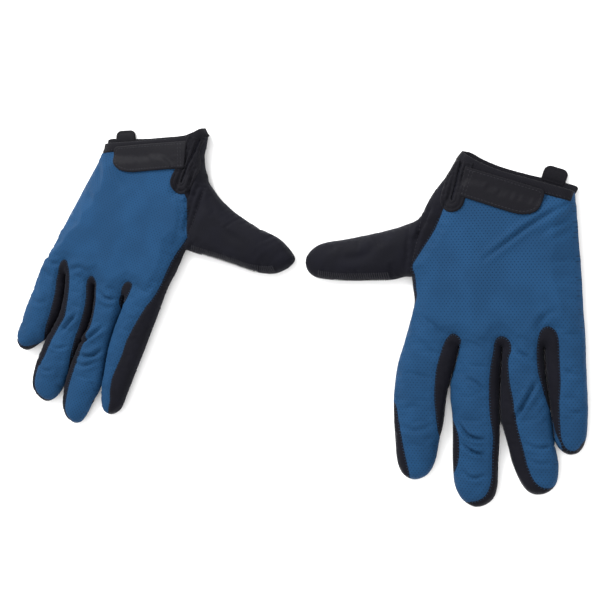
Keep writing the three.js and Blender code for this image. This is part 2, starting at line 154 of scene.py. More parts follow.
RIGHT = {
    "side": "right",
    "mirror": -1,
    "index_x": -29.2,
    "height": 14.0,
    "drop": 3.5,
    "thumb_run": [(-37.8, 124), (-41, 120.5), (-42.2, 113.3), (-42.9, 106.7), (-45.8, 98.5), (-49.6, 93),
        (-52, 88.6), (-56.7, 85.3), (-65, 80), (-75, 75), (-85, 72), (-95, 69.8), (-105, 68.1), (-115, 66.2),
        (-122, 62.8), (-127.5, 59), (-129.8, 55.6), (-127.5, 50), (-122.5, 44.8), (-116.5, 41.4), (-108.3, 39.4),
        (-100, 38.5), (-85, 38.6), (-68.3, 38.4), (-56, 38), (-49.6, 38.3)],
    "finger_runs": {
        "index": [(-49.3, 37.6), (-48.4, 32), (-47.3, 21), (-44.6, 8.3), (-43.2, -8.3), (-41.7, -25),
            (-40.2, -42), (-38.5, -58), (-36.9, -74), (-35.7, -85), (-33, -90.5), (-28, -93.9), (-23.5, -93.4),
            (-19.5, -89), (-16.8, -80), (-15.3, -70), (-13.5, -54), (-12.9, -42), (-13.8, -28), (-14.8, -17),
            (-14.6, -8)],
        "middle": [(-14, -8), (-14.2, -17), (-13.1, -28), (-12.3, -42), (-12.9, -54), (-14.5, -70),
            (-14.4, -80), (-12.2, -90), (-10, -100), (-6.7, -107.4), (-1, -110.2), (5.5, -108), (10, -103),
            (12.5, -95), (13.8, -85), (13.2, -70), (11.4, -56), (8.6, -44), (7.6, -32), (8.6, -20), (11, -8)],
        "ring": [(11.6, -8), (9.3, -20), (8.3, -32), (9.3, -44), (12, -56), (13.9, -70), (14.7, -85), (17, -94),
            (20.8, -99.8), (26, -103), (31.7, -102.4), (37.2, -99), (40.8, -93), (42, -82.5), (41.1, -70),
            (39.1, -59), (35.3, -45), (33.2, -32), (34.2, -20), (36.7, -8)],
        "little": [(37.3, -8), (34.9, -20), (33.9, -32), (36, -45), (40, -58), (44.2, -63.6), (48.6, -68.6),
            (53.3, -72), (58, -72.2), (62, -69), (64.1, -62.5), (63.7, -53.3), (62.5, -38.3), (60.8, -21.7),
            (58.3, -6.7), (55.9, 2), (53.2, 15), (49.2, 31.7), (45, 48.3), (40.8, 65), (36.9, 80), (34.9, 88),
            (34.6, 92)],
    },
    "back_cuff": [(34.6, 92), (19, 97.2), (5.5, 101.8), (-7.5, 106.4), (-20.5, 111), (-31, 117), (-37.8, 124)],
    "palm_cuff": [(34.6, 92), (36, 96.6), (22, 100.6), (7, 104.8), (-5, 109), (-18, 113.6), (-29, 118.8),
        (-37.8, 124)],
    "thumb_seam": [(-52.3, 88), (-52.6, 75), (-52, 60), (-51, 47), (-49.4, 38)],
    "back_edge": [
        [(-33.5, 75), (-38, 77), (-42, 74), (-45, 66), (-47.5, 57), (-51, 46.5)],
        [(-51, 46.5), (-47.5, 39), (-45.4, 32), (-43.4, 21), (-41.4, 9), (-39, -1), (-35.4, -9), (-32.6, -17.5),
            (-30, -27.5), (-27.7, -38), (-27, -49), (-25.7, -57.5), (-24.6, -67), (-25.6, -77), (-27.6, -84),
            (-27.6, -98)],
        [(-27.6, -98), (-12, -98), (-15.5, -88)],
        [(-15.5, -88), (-15.2, -76), (-14, -62), (-13, -52), (-12.6, -42), (-13.4, -28), (-14.5, -17),
            (-17.6, -10), (-20, -3), (-20.6, 2.4), (-17.6, 4), (-14.2, 1.6), (-12.6, -5), (-12.6, -13),
            (-14.3, -17.5)],
        [(-14.3, -17.5), (-13.4, -28), (-12.6, -42), (-13.2, -54), (-14.9, -70), (-16, -80), (-17, -92)],
        [(-17, -92), (-13, -108), (-6, -113)],
        [(-6, -113), (-1, -109), (4, -106.4), (7, -101), (8, -92), (8.2, -80), (7.2, -66), (6.6, -57),
            (5.6, -49), (4.8, -40), (4.6, -30), (5.6, -19), (8, -8.5), (10, -3), (12.6, -1), (15.2, -3.6),
            (15.8, -9), (14, -16), (12.7, -25), (12.7, -39), (14, -50), (14.4, -62), (14.2, -76), (14, -90)],
        [(14, -90), (14, -96), (19, -99)],
        [(19, -99), (24, -101), (29.5, -100.4), (34.6, -97), (37.4, -90.5), (37.6, -82), (34.4, -71),
            (31.7, -57), (29.4, -47), (26.4, -37), (27.4, -25), (29.7, -12), (32, -4), (35.4, 2.4), (38.4, 3.2),
            (41, -0.5), (41, -12), (39.4, -23), (39.2, -38), (40, -48), (40.2, -58)],
        [(40.2, -58), (42.5, -62), (47, -65.8), (52, -68.8), (57, -69.2), (61.4, -66), (68, -58)],
        [(68, -58), (75, 0), (60, 125), (-34, 125)],
        [(-34, 125), (-34, 105), (-33.5, 75)],
    ],
    "slit": {"foot": (-35.4, 75), "top": (-39.2, 119.5)},
    "strap_turn": 7.0,
    "strap_length": 57.0,
    "strap_drop": -2.9,
    "folds": [
        ((33, 88), (22, 80), (8, 68), 0.5, 4.0), ((-6, -34), (0, -42), (8, -51), 1.2, 2.2),
        ((-11, -11), (-4, -13), (5, -10), 0.8, 2.2), ((-10, -50), (-4, -57), (6, -60), 0.9, 2.2),
        ((-8, -60), (0, -66), (8, -66), 0.6, 2.0), ((17, -32), (21, -40), (24, -47), 1.0, 2.2),
        ((18, -57), (25, -61), (32, -60), 0.5, 2.0), ((24, -78), (31, -80), (37, -76), 0.5, 2.0),
        ((41, 0), (48, -3), (56, 2), 0.5, 2.6), ((31, -2), (22, 2), (16, 0), 0.5, 2.8),
        ((-24, -20), (-20, -30), (-16, -36), 0.3, 2.4), ((-44, 70), (-43, 85), (-40, 100), 0.6, 2.0),
        ((-60, 75), (-75, 62), (-95, 56), 0.35, 5.0), ((43, -30), (50, -34), (60, -33), 0.3, 2.4),
        ((-48, 84), (-47, 66), (-48, 50), 0.5, 2.2),
    ],
}


# ---- Curves and areas in plan ----

def resample(points, step):
    """Points along a polyline, evenly spaced and about step apart, ends kept."""
    line = np.asarray(points, float)
    lengths = np.linalg.norm(np.diff(line, axis=0), axis=1)
    along = np.concatenate([[0], np.cumsum(lengths)])
    count = max(2, int(round(along[-1] / step)) + 1)
    wanted = np.linspace(0, along[-1], count)
    return np.column_stack([np.interp(wanted, along, line[:, k]) for k in range(line.shape[1])])


def smooth(points, step=GRID):
    """A smooth curve through the points (Catmull-Rom), evenly resampled."""
    p = np.asarray(points, float)
    if len(p) < 3:
        return resample(p, step)
    padded = np.vstack([2 * p[0] - p[1], p, 2 * p[-1] - p[-2]])
    t = np.linspace(0, 1, 12, endpoint=False)[:, None]
    curve = []
    for a, b, c, d in zip(padded, padded[1:], padded[2:], padded[3:]):
        curve.append(0.5 * (2 * b + (c - a) * t + (2 * a - 5 * b + 4 * c - d) * t**2 + (3 * b - a - 3 * c + d) * t**3))
    return resample(np.vstack([*curve, p[-1:]]), step)


def inside(points, polygon):
    """Which points lie inside a closed polygon."""
    x, y = points[:, 0], points[:, 1]
    hit = np.zeros(len(points), bool)
    for (x0, y0), (x1, y1) in zip(polygon, np.roll(polygon, -1, axis=0)):
        if y0 == y1:
            continue
        crosses = (y0 > y) != (y1 > y)
        hit ^= crosses & (x < (x1 - x0) * (y - y0) / (y1 - y0) + x0)
    return hit


def distance(points, line, closed=False):
    """Distance of each point from a polyline, with the share of the line's length at the nearest place."""
    line = np.asarray(line, float)
    ends = np.roll(line, -1, axis=0) if closed else line[1:]
    starts = line if closed else line[:-1]
    spans = ends - starts
    squares = np.maximum((spans**2).sum(1), 1e-9)
    best = np.full(len(points), 1e9)
    place = np.zeros(len(points))
    along = np.concatenate([[0], np.cumsum(np.sqrt(squares))])
    for i, (start, span, square) in enumerate(zip(starts, spans, squares)):
        offset = points - start
        t = np.clip((offset @ span) / square, 0, 1)
        gap = np.linalg.norm(offset - t[:, None] * span, axis=1)
        nearer = gap < best
        best = np.where(nearer, gap, best)
        place = np.where(nearer, along[i] + t * math.sqrt(square), place)
    return best, place / along[-1]


def offset_line(line, by):
    """A polyline moved sideways, to the left of its direction."""
    tangent = np.gradient(line, axis=0)
    tangent /= np.maximum(np.linalg.norm(tangent, axis=1), 1e-9)[:, None]
    return line + by * np.column_stack([-tangent[:, 1], tangent[:, 0]])


def triangulate(outline, lines, step, rng):
    """A triangle mesh of a closed outline whose edges follow the lines given: vertices in plan, faces."""
    points = [outline]
    edges = [(i, (i + 1) % len(outline)) for i in range(len(outline))]
    start = len(outline)
    for line in lines:
        points.append(line)
        edges += [(start + i, start + i + 1) for i in range(len(line) - 1)]
        start += len(line)
    fixed = np.vstack(points)
    low, high = outline.min(0), outline.max(0)
    rows = np.arange(low[1], high[1], step * 0.866)
    grid = []
    for i, y in enumerate(rows):
        xs = np.arange(low[0] + (i % 2) * step / 2, high[0], step)
        grid.append(np.column_stack([xs, np.full(len(xs), y)]))
    grid = np.vstack(grid)
    grid = grid + rng.uniform(-0.08, 0.08, grid.shape) * step
    grid = grid[inside(grid, outline)]
    near = np.full(len(grid), 1e9)
    for chunk in np.array_split(fixed, max(1, len(fixed) // 200)):
        gaps = np.linalg.norm(grid[:, None] - chunk[None], axis=2).min(1)
        near = np.minimum(near, gaps)
    grid = grid[near > 0.62 * step]
    everything = np.vstack([fixed, grid])
    made = delaunay_2d_cdt([Vector(p) for p in everything.tolist()], edges, [], 0, 1e-4, False)
    plan = np.array([tuple(v) for v in made[0]])
    faces = np.array([f for f in made[2] if len(f) == 3])
    a, b, c = plan[faces[:, 0]], plan[faces[:, 1]], plan[faces[:, 2]]
    area = (b[:, 0] - a[:, 0]) * (c[:, 1] - a[:, 1]) - (b[:, 1] - a[:, 1]) * (c[:, 0] - a[:, 0])
    faces[area < 0] = faces[area < 0][:, ::-1]
    keep = inside((a + b + c) / 3, outline) & (abs(area) > 1e-5)
    faces = faces[keep]
    used, index = np.unique(faces, return_inverse=True)
    return plan[used], index.reshape(faces.shape)


def boundary_loop(faces):
    """The vertices round the edge of a mesh, in order, as one loop."""
    edges = {}
    for a, b, c in faces.tolist():
        for edge in ((a, b), (b, c), (c, a)):
            edges[edge] = True
    follow = {a: b for a, b in edges if (b, a) not in edges}
    start = next(iter(follow))
    loop = [start]
    while follow[loop[-1]] != start:
        loop.append(follow[loop[-1]])
        if len(loop) > len(follow):
            raise ValueError("the edge of the cloth isn't one loop")
    return loop


def rounded(share, power=2.1):
    """0 at the edge, 1 once inside, with a rounded shoulder."""
    t = np.clip(share, 0, 1)
    return (1 - (1 - t) ** power) ** (1 / power)


# ---- From a glove's plan to the row frame ----

class Place:
    """Where a glove lies: millimetres in its own plan to metres in the row frame, and back."""

    def __init__(self, glove):
        joint = JOINTS[f"{glove['side']}_index_knuckle"]
        axis = np.array(joint["axis"][:2]) / np.linalg.norm(joint["axis"][:2])
        self.mirror = glove["mirror"]
        self.across = axis * self.mirror
        self.along = np.array([-axis[1], axis[0]])
        knuckle = np.array(joint["pos_m"][:2]) / MM
        self.origin = knuckle - self.across * glove["index_x"] - self.along * KNUCKLE_Y

    def row(self, points):
        p = np.atleast_2d(np.asarray(points, float))
        flat = self.origin + p[:, :1] * self.across + p[:, 1:2] * self.along
        return np.column_stack([flat, p[:, 2]]) * MM

    def turn(self, directions):
        d = np.atleast_2d(np.asarray(directions, float))
        return np.column_stack([d[:, :1] * self.across + d[:, 1:2] * self.along, d[:, 2]])

    def plan(self, point):
        offset = np.array(point[:2]) / MM - self.origin
        return np.array([offset @ self.across, offset @ self.along])


# ---- Meshes ----

def vertex_normals(verts, faces):
    a, b, c = (verts[faces[:, k]] for k in range(3))
    face = np.cross(b - a, c - a)
    normals = np.zeros_like(verts)
    for k in range(3):
        np.add.at(normals, faces[:, k], face)
    return normals / np.maximum(np.linalg.norm(normals, axis=1), 1e-12)[:, None]


def new_object(name, place, verts, faces, uv, material, normals=None):
    """A mesh object from millimetres in a glove's plan. uv is the flat pattern, in metres."""
    faces = [tuple(f) for f in (faces.tolist() if isinstance(faces, np.ndarray) else faces)]
    if place.mirror < 0:
        faces = [f[::-1] for f in faces]
    mesh = bpy.data.meshes.new(name)
    mesh.from_pydata(place.row(verts).tolist(), [], faces)
    layer = mesh.uv_layers.new(name="flat_pattern")
    corners = np.zeros(len(mesh.loops), np.int32)
    mesh.loops.foreach_get("vertex_index", corners)
    layer.data.foreach_set("uv", (np.asarray(uv, float) * MM)[corners].ravel())
    mesh.polygons.foreach_set("use_smooth", [True] * len(mesh.polygons))
    mesh.materials.append(material)
    if normals is not None:
        mesh.normals_split_custom_set_from_vertices(place.turn(normals).tolist())
    mesh.update()
    obj = bpy.data.objects.new(name, mesh)
    bpy.context.scene.collection.objects.link(obj)
    return obj


def shell(verts, normals, faces, thick):
    """A sheet given a thickness inwards, with its rim closed."""
    count = len(verts)
    edges = {}
    for a, b, c in faces.tolist():
        for edge in ((a, b), (b, c), (c, a)):
            edges[edge] = True
    rim = [(b, a, a + count, b + count) for a, b in edges if (b, a) not in edges]
    body = [tuple(f) for f in faces.tolist()] + [(c + count, b + count, a + count) for a, b, c in faces.tolist()]
    return np.vstack([verts, verts - normals * thick]), np.vstack([normals, -normals]), body + rim


class Surface:
    """The finished outside of a glove, for laying trims on."""

    def __init__(self, verts, faces):
        self.tree = BVHTree.FromPolygons(verts.tolist(), faces.tolist())

    def top(self, x, y, fallback=6.0):
        hit = self.tree.ray_cast(Vector((x, y, 60.0)), Vector((0, 0, -1)))
        if hit[0] is None:
            near = self.tree.find_nearest(Vector((x, y, fallback)))
            return near[0].z, near[1]
        return hit[0].z, hit[1]


# ---- The cloth of one glove ----

def close_up(runs):
    """Finger outlines drawn together until they almost touch, wherever neighbours lie close."""
    moved = [run.copy() for run in runs]
    for a, b in ((0, 1), (1, 0), (1, 2), (2, 1), (2, 3), (3, 2)):
        nearest, gap = nearest_point(runs[a], runs[b])
        share = np.clip((1.6 - gap) / 0.4, 0, 1) * np.clip(0.5 - FINGER_GAP / 2 / np.maximum(gap, 1e-6), 0, 0.5)
        moved[a] += (nearest - runs[a]) * share[:, None]
    return moved


def build_cloth(glove, seed):
    """The two sewn layers of a glove: vertices, faces, the panel of each face and whether it lies on top, and the lines
    of its pattern.
    """
    rng = np.random.default_rng(seed)
    runs = [smooth(glove["thumb_run"])] + [smooth(glove["finger_runs"][f]) for f in FINGERS]
    runs[1:] = close_up(runs[1:])
    side_line = np.vstack(runs)
    webs = [(run[-1][0], after[0][0]) for run, after in zip(runs[1:], runs[2:])]
    back_cuff = smooth(glove["back_cuff"])
    palm_cuff = smooth(glove["palm_cuff"])
    outline = np.vstack([side_line, back_cuff[1:-1]])
    back_edge = np.vstack([smooth(part)[:-1] for part in glove["back_edge"]])
    thumb_seam = smooth(glove["thumb_seam"])
    parting = resample([(-70, WEB_Y), (90, WEB_Y)], GRID)
    parting = parting[inside(parting, outline)]
    edge_line = np.vstack([back_edge, back_edge[:1]])
    lines = [resample(edge_line, GRID * 0.9), thumb_seam, parting]
    for by in (-1.1, 1.1):
        row = offset_line(resample(edge_line, GRID), by)
        row = row[inside(row, outline)]
        gap, _ = distance(row, side_line)
        apart, _ = distance(row, edge_line)
        row = row[(gap > 0.8) & (apart > 0.8)]
        lines += [row[i:i + 1] for i in range(0, len(row))]
    top_plan, top_faces = triangulate(outline, lines, GRID, rng)

    # The palm shares the back's silhouette, and has its own edge at the cuff.
    loop = [top_plan[i] for i in boundary_loop(top_faces)]
    corners = [np.argmin(np.linalg.norm(np.array(loop) - end, axis=1)) for end in (back_cuff[0], back_cuff[-1])]
    loop = loop[corners[1]:] + loop[:corners[1]]
    turn = np.argmin(np.linalg.norm(np.array(loop) - back_cuff[0], axis=1))
    shared = np.array(loop[:turn + 1])
    palm_outline = np.vstack([shared, palm_cuff[1:-1]])
    palm_lines = [parting, thumb_seam]
    inner = offset_line(side_line, PALM_SEAM)
    gap, _ = distance(inner, side_line)
    inner = inner[inside(inner, palm_outline) & (gap > 0.85 * PALM_SEAM)]
    palm_lines += [inner[i:i + 1] for i in range(len(inner))]
    low_plan, low_faces = triangulate(palm_outline, palm_lines, GRID * 1.3, rng)

    # Heights.
    top_gap, _ = distance(top_plan, side_line)
    low_gap, _ = distance(low_plan, side_line)

    def full_height(plan):
        down = np.clip(-plan[:, 1], 0, None) / FINGER_REACH
        out = np.clip(-42 - plan[:, 0], 0, None) / THUMB_REACH * (plan[:, 1] > 30)
        crown = 1.3 * np.exp(-(((plan[:, 0] - 12) / 34) ** 2) - (((plan[:, 1] - 38) / 36) ** 2))
        return glove["height"] + crown - glove["drop"] * down - 2.6 * out - 0.8 * (out > 0)

    high = full_height(top_plan)
    top_z = high * (WAIST + (1 - WAIST) * rounded(top_gap / SIDE_ROUND))
    hand = np.clip((low_plan[:, 1] - WEB_Y) / 12, 0, 1) * (low_plan[:, 0] > -40)
    rest = PALM_REST + (HAND_REST - PALM_REST) * hand
    low_high = full_height(low_plan)
    low_z = low_high * WAIST - (low_high * WAIST - rest) * rounded(low_gap / PALM_ROUND)

    # One set of vertices: the palm's edge uses the back's.
    tree = {tuple(np.round(p, 3)): i for i, p in enumerate(top_plan)}
    low_loop = set(boundary_loop(low_faces))
    index = np.zeros(len(low_plan), int)
    extra = []
    for i, p in enumerate(low_plan):
        match = tree.get(tuple(np.round(p, 3))) if i in low_loop else None
        if match is not None and top_gap[match] < 1e-3:
            index[i] = match
        else:
            index[i] = len(top_plan) + len(extra)
            extra.append(i)
    verts = np.vstack([np.column_stack([top_plan, top_z]), np.column_stack([low_plan[extra], low_z[extra]])])
    low_faces = index[low_faces][:, ::-1]
    faces = np.vstack([top_faces, low_faces])
    is_top = np.arange(len(faces)) < len(top_faces)

    # Panels and bodies.
    middle = verts[faces].mean(axis=1)
    plan = middle[:, :2]
    bounds = [-1e3] + [0.5 * (a + b) for a, b in webs] + [1e3]
    side_gap, _ = distance(plan, side_line)
    thumb_area = np.vstack([thumb_seam, [(-42, 20), (-200, 20), (-200, 150), (-36, 150)]]) if glove["mirror"] > 0 \
        else np.vstack([thumb_seam, [(-50, 20), (-200, 20), (-200, 150), (-54, 150)]])
    on_thumb = inside(plan, thumb_area) & (plan[:, 1] > 30) & (plan[:, 0] < thumb_seam[:, 0].max() + 1)
    on_thumb &= plan[:, 1] < thumb_seam[0][1] + 8
    foot, top = (np.array(glove["slit"][end], float) for end in ("foot", "top"))
    slit_gap, _ = distance(plan, np.array([foot + 0.15 * (top - foot), top]))
    # Near the slit the back is left black, as painted shade for the open slit.
    blue = inside(plan, back_edge) & is_top & ~on_thumb & (slit_gap > UNDER_SLIT)
    finger = np.full(len(faces), -1)
    tips = smooth_middles(glove)
    best = np.full(len(faces), 1e9)
    for i, line in enumerate(tips):
        gap, _ = distance(plan, line)
        below = plan[:, 1] < WEB_Y
        closer = below & (gap < best)
        best = np.where(closer, gap, best)
        finger = np.where(closer, i, finger)
    finger[plan[:, 0] < -60] = np.where(plan[plan[:, 0] < -60][:, 1] < 20, 0, -1)
    centre = np.zeros(len(faces))
    for i, line in enumerate(tips):
        ordered = line[np.argsort(line[:, 1])]
        centre = np.where(finger == i, np.interp(plan[:, 1], ordered[:, 1], ordered[:, 0]), centre)
    panel = np.full(len(faces), "palm_panel", dtype=object)
    for i, name in enumerate(FINGERS):
        mine = finger == i
        inner_side = plan[:, 0] < centre
        panel[mine & is_top & inner_side] = f"{name}_inner_side"
        panel[mine & is_top & ~inner_side] = f"{name}_outer_side"
        panel[mine & is_top & blue] = f"{name}_back"
        near_side = side_gap < PALM_SEAM
        panel[mine & ~is_top & near_side & inner_side] = f"{name}_inner_side"
        panel[mine & ~is_top & near_side & ~inner_side] = f"{name}_outer_side"
        panel[mine & ~is_top & ~near_side] = f"{name}_palm"
    hand_part = (finger < 0) & ~on_thumb
    panel[hand_part & is_top] = "thumb_gore"
    panel[hand_part & is_top & blue] = "back_panel"
    web_faces = hand_part & is_top & ~blue & (plan[:, 1] < 42)
    panel[web_faces] = "index_side"
    beside = hand_part & ~is_top & (side_gap < PALM_SEAM)
    panel[beside & (plan[:, 0] > 20)] = "heel_side"
    panel[beside & (plan[:, 0] < 20) & (plan[:, 1] < 42)] = "index_side"
    panel[beside & (plan[:, 0] < 20) & (plan[:, 1] >= 42)] = "thumb_gore"
    panel[on_thumb & is_top] = "thumb_back"
    panel[on_thumb & ~is_top] = "thumb_palm"
    return {
        "verts": verts, "faces": faces, "panel": panel, "is_top": is_top, "side_line": side_line,
        "edge_line": edge_line, "thumb_seam": thumb_seam, "outline": outline, "back_cuff": back_cuff,
        "palm_cuff": palm_cuff, "finger_lines": tips, "webs": webs,
    }


def smooth_middles(glove):
    """The middle line of each finger, from its base to its tip."""
    lines = []
    for name in FINGERS:
        run = smooth(glove["finger_runs"][name])
        tip = np.argmin(run[:, 1])
        left, right = run[:tip + 1], run[tip:][::-1]
        levels = np.linspace(WEB_Y + 2, run[tip][1] + 3, 12)
        xs = [0.5 * (np.interp(-y, -left[:, 1], left[:, 0]) + np.interp(-y, -right[:, 1], right[:, 0])) for y in levels]
        lines.append(np.column_stack([xs, levels]))
    return lines


def nearest_point(points, line):
    """The nearest point of a polyline to each point, and its distance."""
    gap, share = distance(points, line)
    along = np.concatenate([[0], np.cumsum(np.linalg.norm(np.diff(line, axis=0), axis=1))])
    at = share * along[-1]
    return np.column_stack([np.interp(at, along, line[:, 0]), np.interp(at, along, line[:, 1])]), gap


def unrolled(glove, cloth):
    """Each vertex's place in the flat pattern: the plan, with the rounded sides rolled out flat."""
    verts = cloth["verts"]
    plan = verts[:, :2]
    nearest, gap = nearest_point(plan, cloth["side_line"])
    outward = nearest - plan
    outward /= np.maximum(np.linalg.norm(outward, axis=1), 1e-6)[:, None]
    top_used = np.zeros(len(verts), bool)
    top_used[cloth["faces"][cloth["is_top"]].ravel()] = True

    def spare(reach, rise):
        """How much longer the rounded side is than its plan, from a distance inside the edge to where it is flat."""
        steps = np.linspace(0, reach, 60)
        z = rise * rounded(steps / reach)
        extra = np.hypot(np.diff(steps), np.diff(z)) - np.diff(steps)
        return steps, np.concatenate([np.cumsum(extra[::-1])[::-1], [0]])

    top_steps, top_spare = spare(SIDE_ROUND, glove["height"] * (1 - WAIST))
    low_steps, low_spare = spare(PALM_ROUND, glove["height"] * WAIST)
    push = np.where(top_used, np.interp(gap, top_steps, top_spare), 0)
    flat = plan + outward * push[:, None]
    wrapped = nearest + outward * (top_spare[0] + gap + low_spare[0] - np.interp(gap, low_steps, low_spare))[:, None]
    under = plan + outward * np.interp(gap, low_steps, low_spare)[:, None]
    return {"top": flat, "wrapped": np.where(top_used[:, None], flat, wrapped), "under": under}


def shape_cloth(glove, cloth):
    """Creases, sunk seams and soft unevenness, as moves along the normals of the back."""
    verts = cloth["verts"].copy()
    normals = vertex_normals(verts, cloth["faces"])
    top_used = np.zeros(len(verts), bool)
    top_used[cloth["faces"][cloth["is_top"]].ravel()] = True
    plan = verts[:, :2]
    side_gap, _ = distance(plan, cloth["side_line"])
    move = np.zeros(len(verts))
    for *path, depth, width in glove["folds"]:
        line = smooth(path, 1.0)
        gap, share = distance(plan, line)
        taper = np.sqrt(np.clip(np.sin(np.pi * np.clip(share, 0.02, 0.98)), 0, 1))
        taper *= np.exp(-np.clip(gap - 3 * width, 0, None))
        crease = -np.exp(-((gap / (0.5 * width)) ** 2)) + 0.62 * np.exp(-(((gap - 1.3 * width) / (0.85 * width)) ** 2))
        move += FOLD_DEPTH * depth * taper * crease
    for line in (cloth["edge_line"], cloth["thumb_seam"]):
        gap, _ = distance(plan, line)
        near_rim = np.clip((side_gap - 0.6) / 2.0, 0, 1)
        move += near_rim * (-0.5 * np.exp(-((gap / 0.8) ** 2)) + 0.3 * np.exp(-(((gap - 2.3) / 1.2) ** 2)))
    waves = [(0.21, 0.05, 0.3), (-0.07, 0.24, 1.9), (0.13, -0.17, 4.0), (0.31, 0.22, 2.2), (-0.26, 0.12, 5.1)]
    soft = sum(math.cos(k) * 0.12 * np.sin(a * plan[:, 0] + b * plan[:, 1] + k) for a, b, k in waves)
    move += soft * np.clip(side_gap / 8, 0, 1)
    verts[top_used] += (normals * move[:, None])[top_used]
    cloth["verts"] = verts
    return cloth


def puff(cloth):
    """Cloth simulation: the sewn layers are blown up a little, held at the seams and on the table."""
    verts, faces = cloth["verts"], cloth["faces"]
    rows = [tuple(f) for f in faces.tolist()]
    mesh = bpy.data.meshes.new("puffing")
    mesh.from_pydata((verts * MM * SIM_SCALE).tolist(), [], rows)
    obj = bpy.data.objects.new("puffing", mesh)
    bpy.context.scene.collection.objects.link(obj)
    plan = verts[:, :2]
    seam_gap = np.minimum(distance(plan, cloth["edge_line"])[0], distance(plan, cloth["thumb_seam"])[0])
    cuff_gap = distance(plan, cloth["back_cuff"])[0]
    top_used = np.zeros(len(verts), bool)
    top_used[faces[cloth["is_top"]].ravel()] = True
    low_only = ~top_used
    held = np.where(low_only, 1.0, np.clip(0.75 * np.exp(-((seam_gap / 1.5) ** 2)), 0, 1))
    held = np.maximum(held, np.clip(1 - cuff_gap / 14, 0, 1))
    group = obj.vertex_groups.new(name="held")
    for level in range(1, 21):
        share = level / 20
        members = np.where(np.round(held * 20) == level)[0].tolist()
        if members:
            group.add(members, share, "REPLACE")
    cloth_modifier = obj.modifiers.new("cloth", "CLOTH")
    settings = cloth_modifier.settings
    settings.quality = 6
    settings.mass = 0.25
    settings.tension_stiffness = 12
    settings.compression_stiffness = 12
    settings.shear_stiffness = 4
    settings.bending_stiffness = 0.25
    settings.use_pressure = True
    settings.uniform_pressure_force = SIM_PRESSURE
    settings.shrink_min = SIM_SLACK
    settings.vertex_group_mass = "held"
    settings.pin_stiffness = 1
    settings.effector_weights.gravity = 0
    cloth_modifier.collision_settings.use_collision = False
    cloth_modifier.point_cache.frame_start = 1
    cloth_modifier.point_cache.frame_end = SIM_FRAMES
    scene = bpy.context.scene
    for number in range(1, SIM_FRAMES + 1):
        scene.frame_set(number)
    evaluated = obj.evaluated_get(bpy.context.evaluated_depsgraph_get())
    made = np.zeros(len(verts) * 3)
    evaluated.data.vertices.foreach_get("co", made)
    made = made.reshape(-1, 3) / (MM * SIM_SCALE)
    scene.frame_set(1)
    bpy.data.objects.remove(obj)
    bpy.data.meshes.remove(mesh)
    shift = made - verts
    size = np.linalg.norm(shift, axis=1)
    shift *= (np.minimum(size, SIM_CAP) / np.maximum(size, 1e-9))[:, None]
    shift[low_only] = 0
    cloth["verts"] = verts + shift
    return cloth


SIM_SCALE = 10.0  # the cloth solver works better on a larger copy
SIM_PRESSURE = 4.0
SIM_SLACK = -0.02  # the cloth is this much longer than its outline, so that it wrinkles
SIM_FRAMES = 14
SIM_CAP = 2.5


# ---- Materials ----

class Graph:
    """A small helper that writes arithmetic as shader nodes."""

    def __init__(self, name):
        self.material = bpy.data.materials.new(name)
        self.material.use_nodes = True
        self.tree = self.material.node_tree
        self.shader = self.tree.nodes["Principled BSDF"]

    def node(self, kind, **settings):
        made = self.tree.nodes.new(kind)
        for key, value in settings.items():
            setattr(made, key, value)
        return made

    def plug(self, target, value):
        if isinstance(value, bpy.types.NodeSocket):
            self.tree.links.new(value, target)
        else:
            target.default_value = value

    def math(self, operation, *values, clamp=False):
        made = self.node("ShaderNodeMath", operation=operation, use_clamp=clamp)
        for socket, value in zip(made.inputs, values):
            self.plug(socket, value)
        return made.outputs[0]

    def flat(self):
        """Place in the flat pattern, in millimetres."""
        uv = self.node("ShaderNodeUVMap", uv_map="flat_pattern")
        scale = self.node("ShaderNodeVectorMath", operation="SCALE")
        self.plug(scale.inputs[0], uv.outputs[0])
        scale.inputs["Scale"].default_value = 1000.0
        split = self.node("ShaderNodeSeparateXYZ")
        self.plug(split.inputs[0], scale.outputs[0])
        return scale.outputs[0], split.outputs[0], split.outputs[1]

    def noise(self, vector, scale, detail=3.0, roughness=0.5):
        made = self.node("ShaderNodeTexNoise", noise_dimensions="2D")
        self.plug(made.inputs["Vector"], vector)
        made.inputs["Scale"].default_value = scale
        made.inputs["Detail"].default_value = detail
        made.inputs["Roughness"].default_value = roughness
        return made.outputs[0]

    def wave(self, value, pitch, phase=0.0):
        """Rises and falls between 0 and 1 once in every pitch."""
        turned = self.math("MULTIPLY_ADD", value, 2 * math.pi / pitch, phase)
        return self.math("MULTIPLY_ADD", self.math("SINE", turned), 0.5, 0.5)

    def between(self, value, low, high):
        """0 below low, 1 above high."""
        made = self.node("ShaderNodeMapRange", interpolation_type="SMOOTHSTEP")
        self.plug(made.inputs["Value"], value)
        made.inputs["From Min"].default_value = low
        made.inputs["From Max"].default_value = high
        return made.outputs[0]

    def mix(self, share, first, second):
        made = self.node("ShaderNodeMix", data_type="RGBA")
        self.plug(made.inputs["Factor"], share)
        self.plug(made.inputs[6], first)
        self.plug(made.inputs[7], second)
        return made.outputs[2]

    def finish(self, colour, roughness, height, bump, relief, sheen=0.0, sheen_tint=(1, 1, 1, 1), specular=0.08):
        self.plug(self.shader.inputs["Base Color"], colour)
        self.plug(self.shader.inputs["Roughness"], roughness)
        self.shader.inputs["Specular IOR Level"].default_value = specular
        self.shader.inputs["Sheen Weight"].default_value = sheen
        self.shader.inputs["Sheen Roughness"].default_value = 0.45
        self.shader.inputs["Sheen Tint"].default_value = sheen_tint
        made = self.node("ShaderNodeBump")
        made.inputs["Strength"].default_value = bump
        made.inputs["Distance"].default_value = relief
        self.plug(made.inputs["Height"], height)
        self.plug(self.shader.inputs["Normal"], made.outputs[0])
        return self.material


def shade(colour, share):
    return tuple(c * share for c in colour[:3]) + (1.0,)


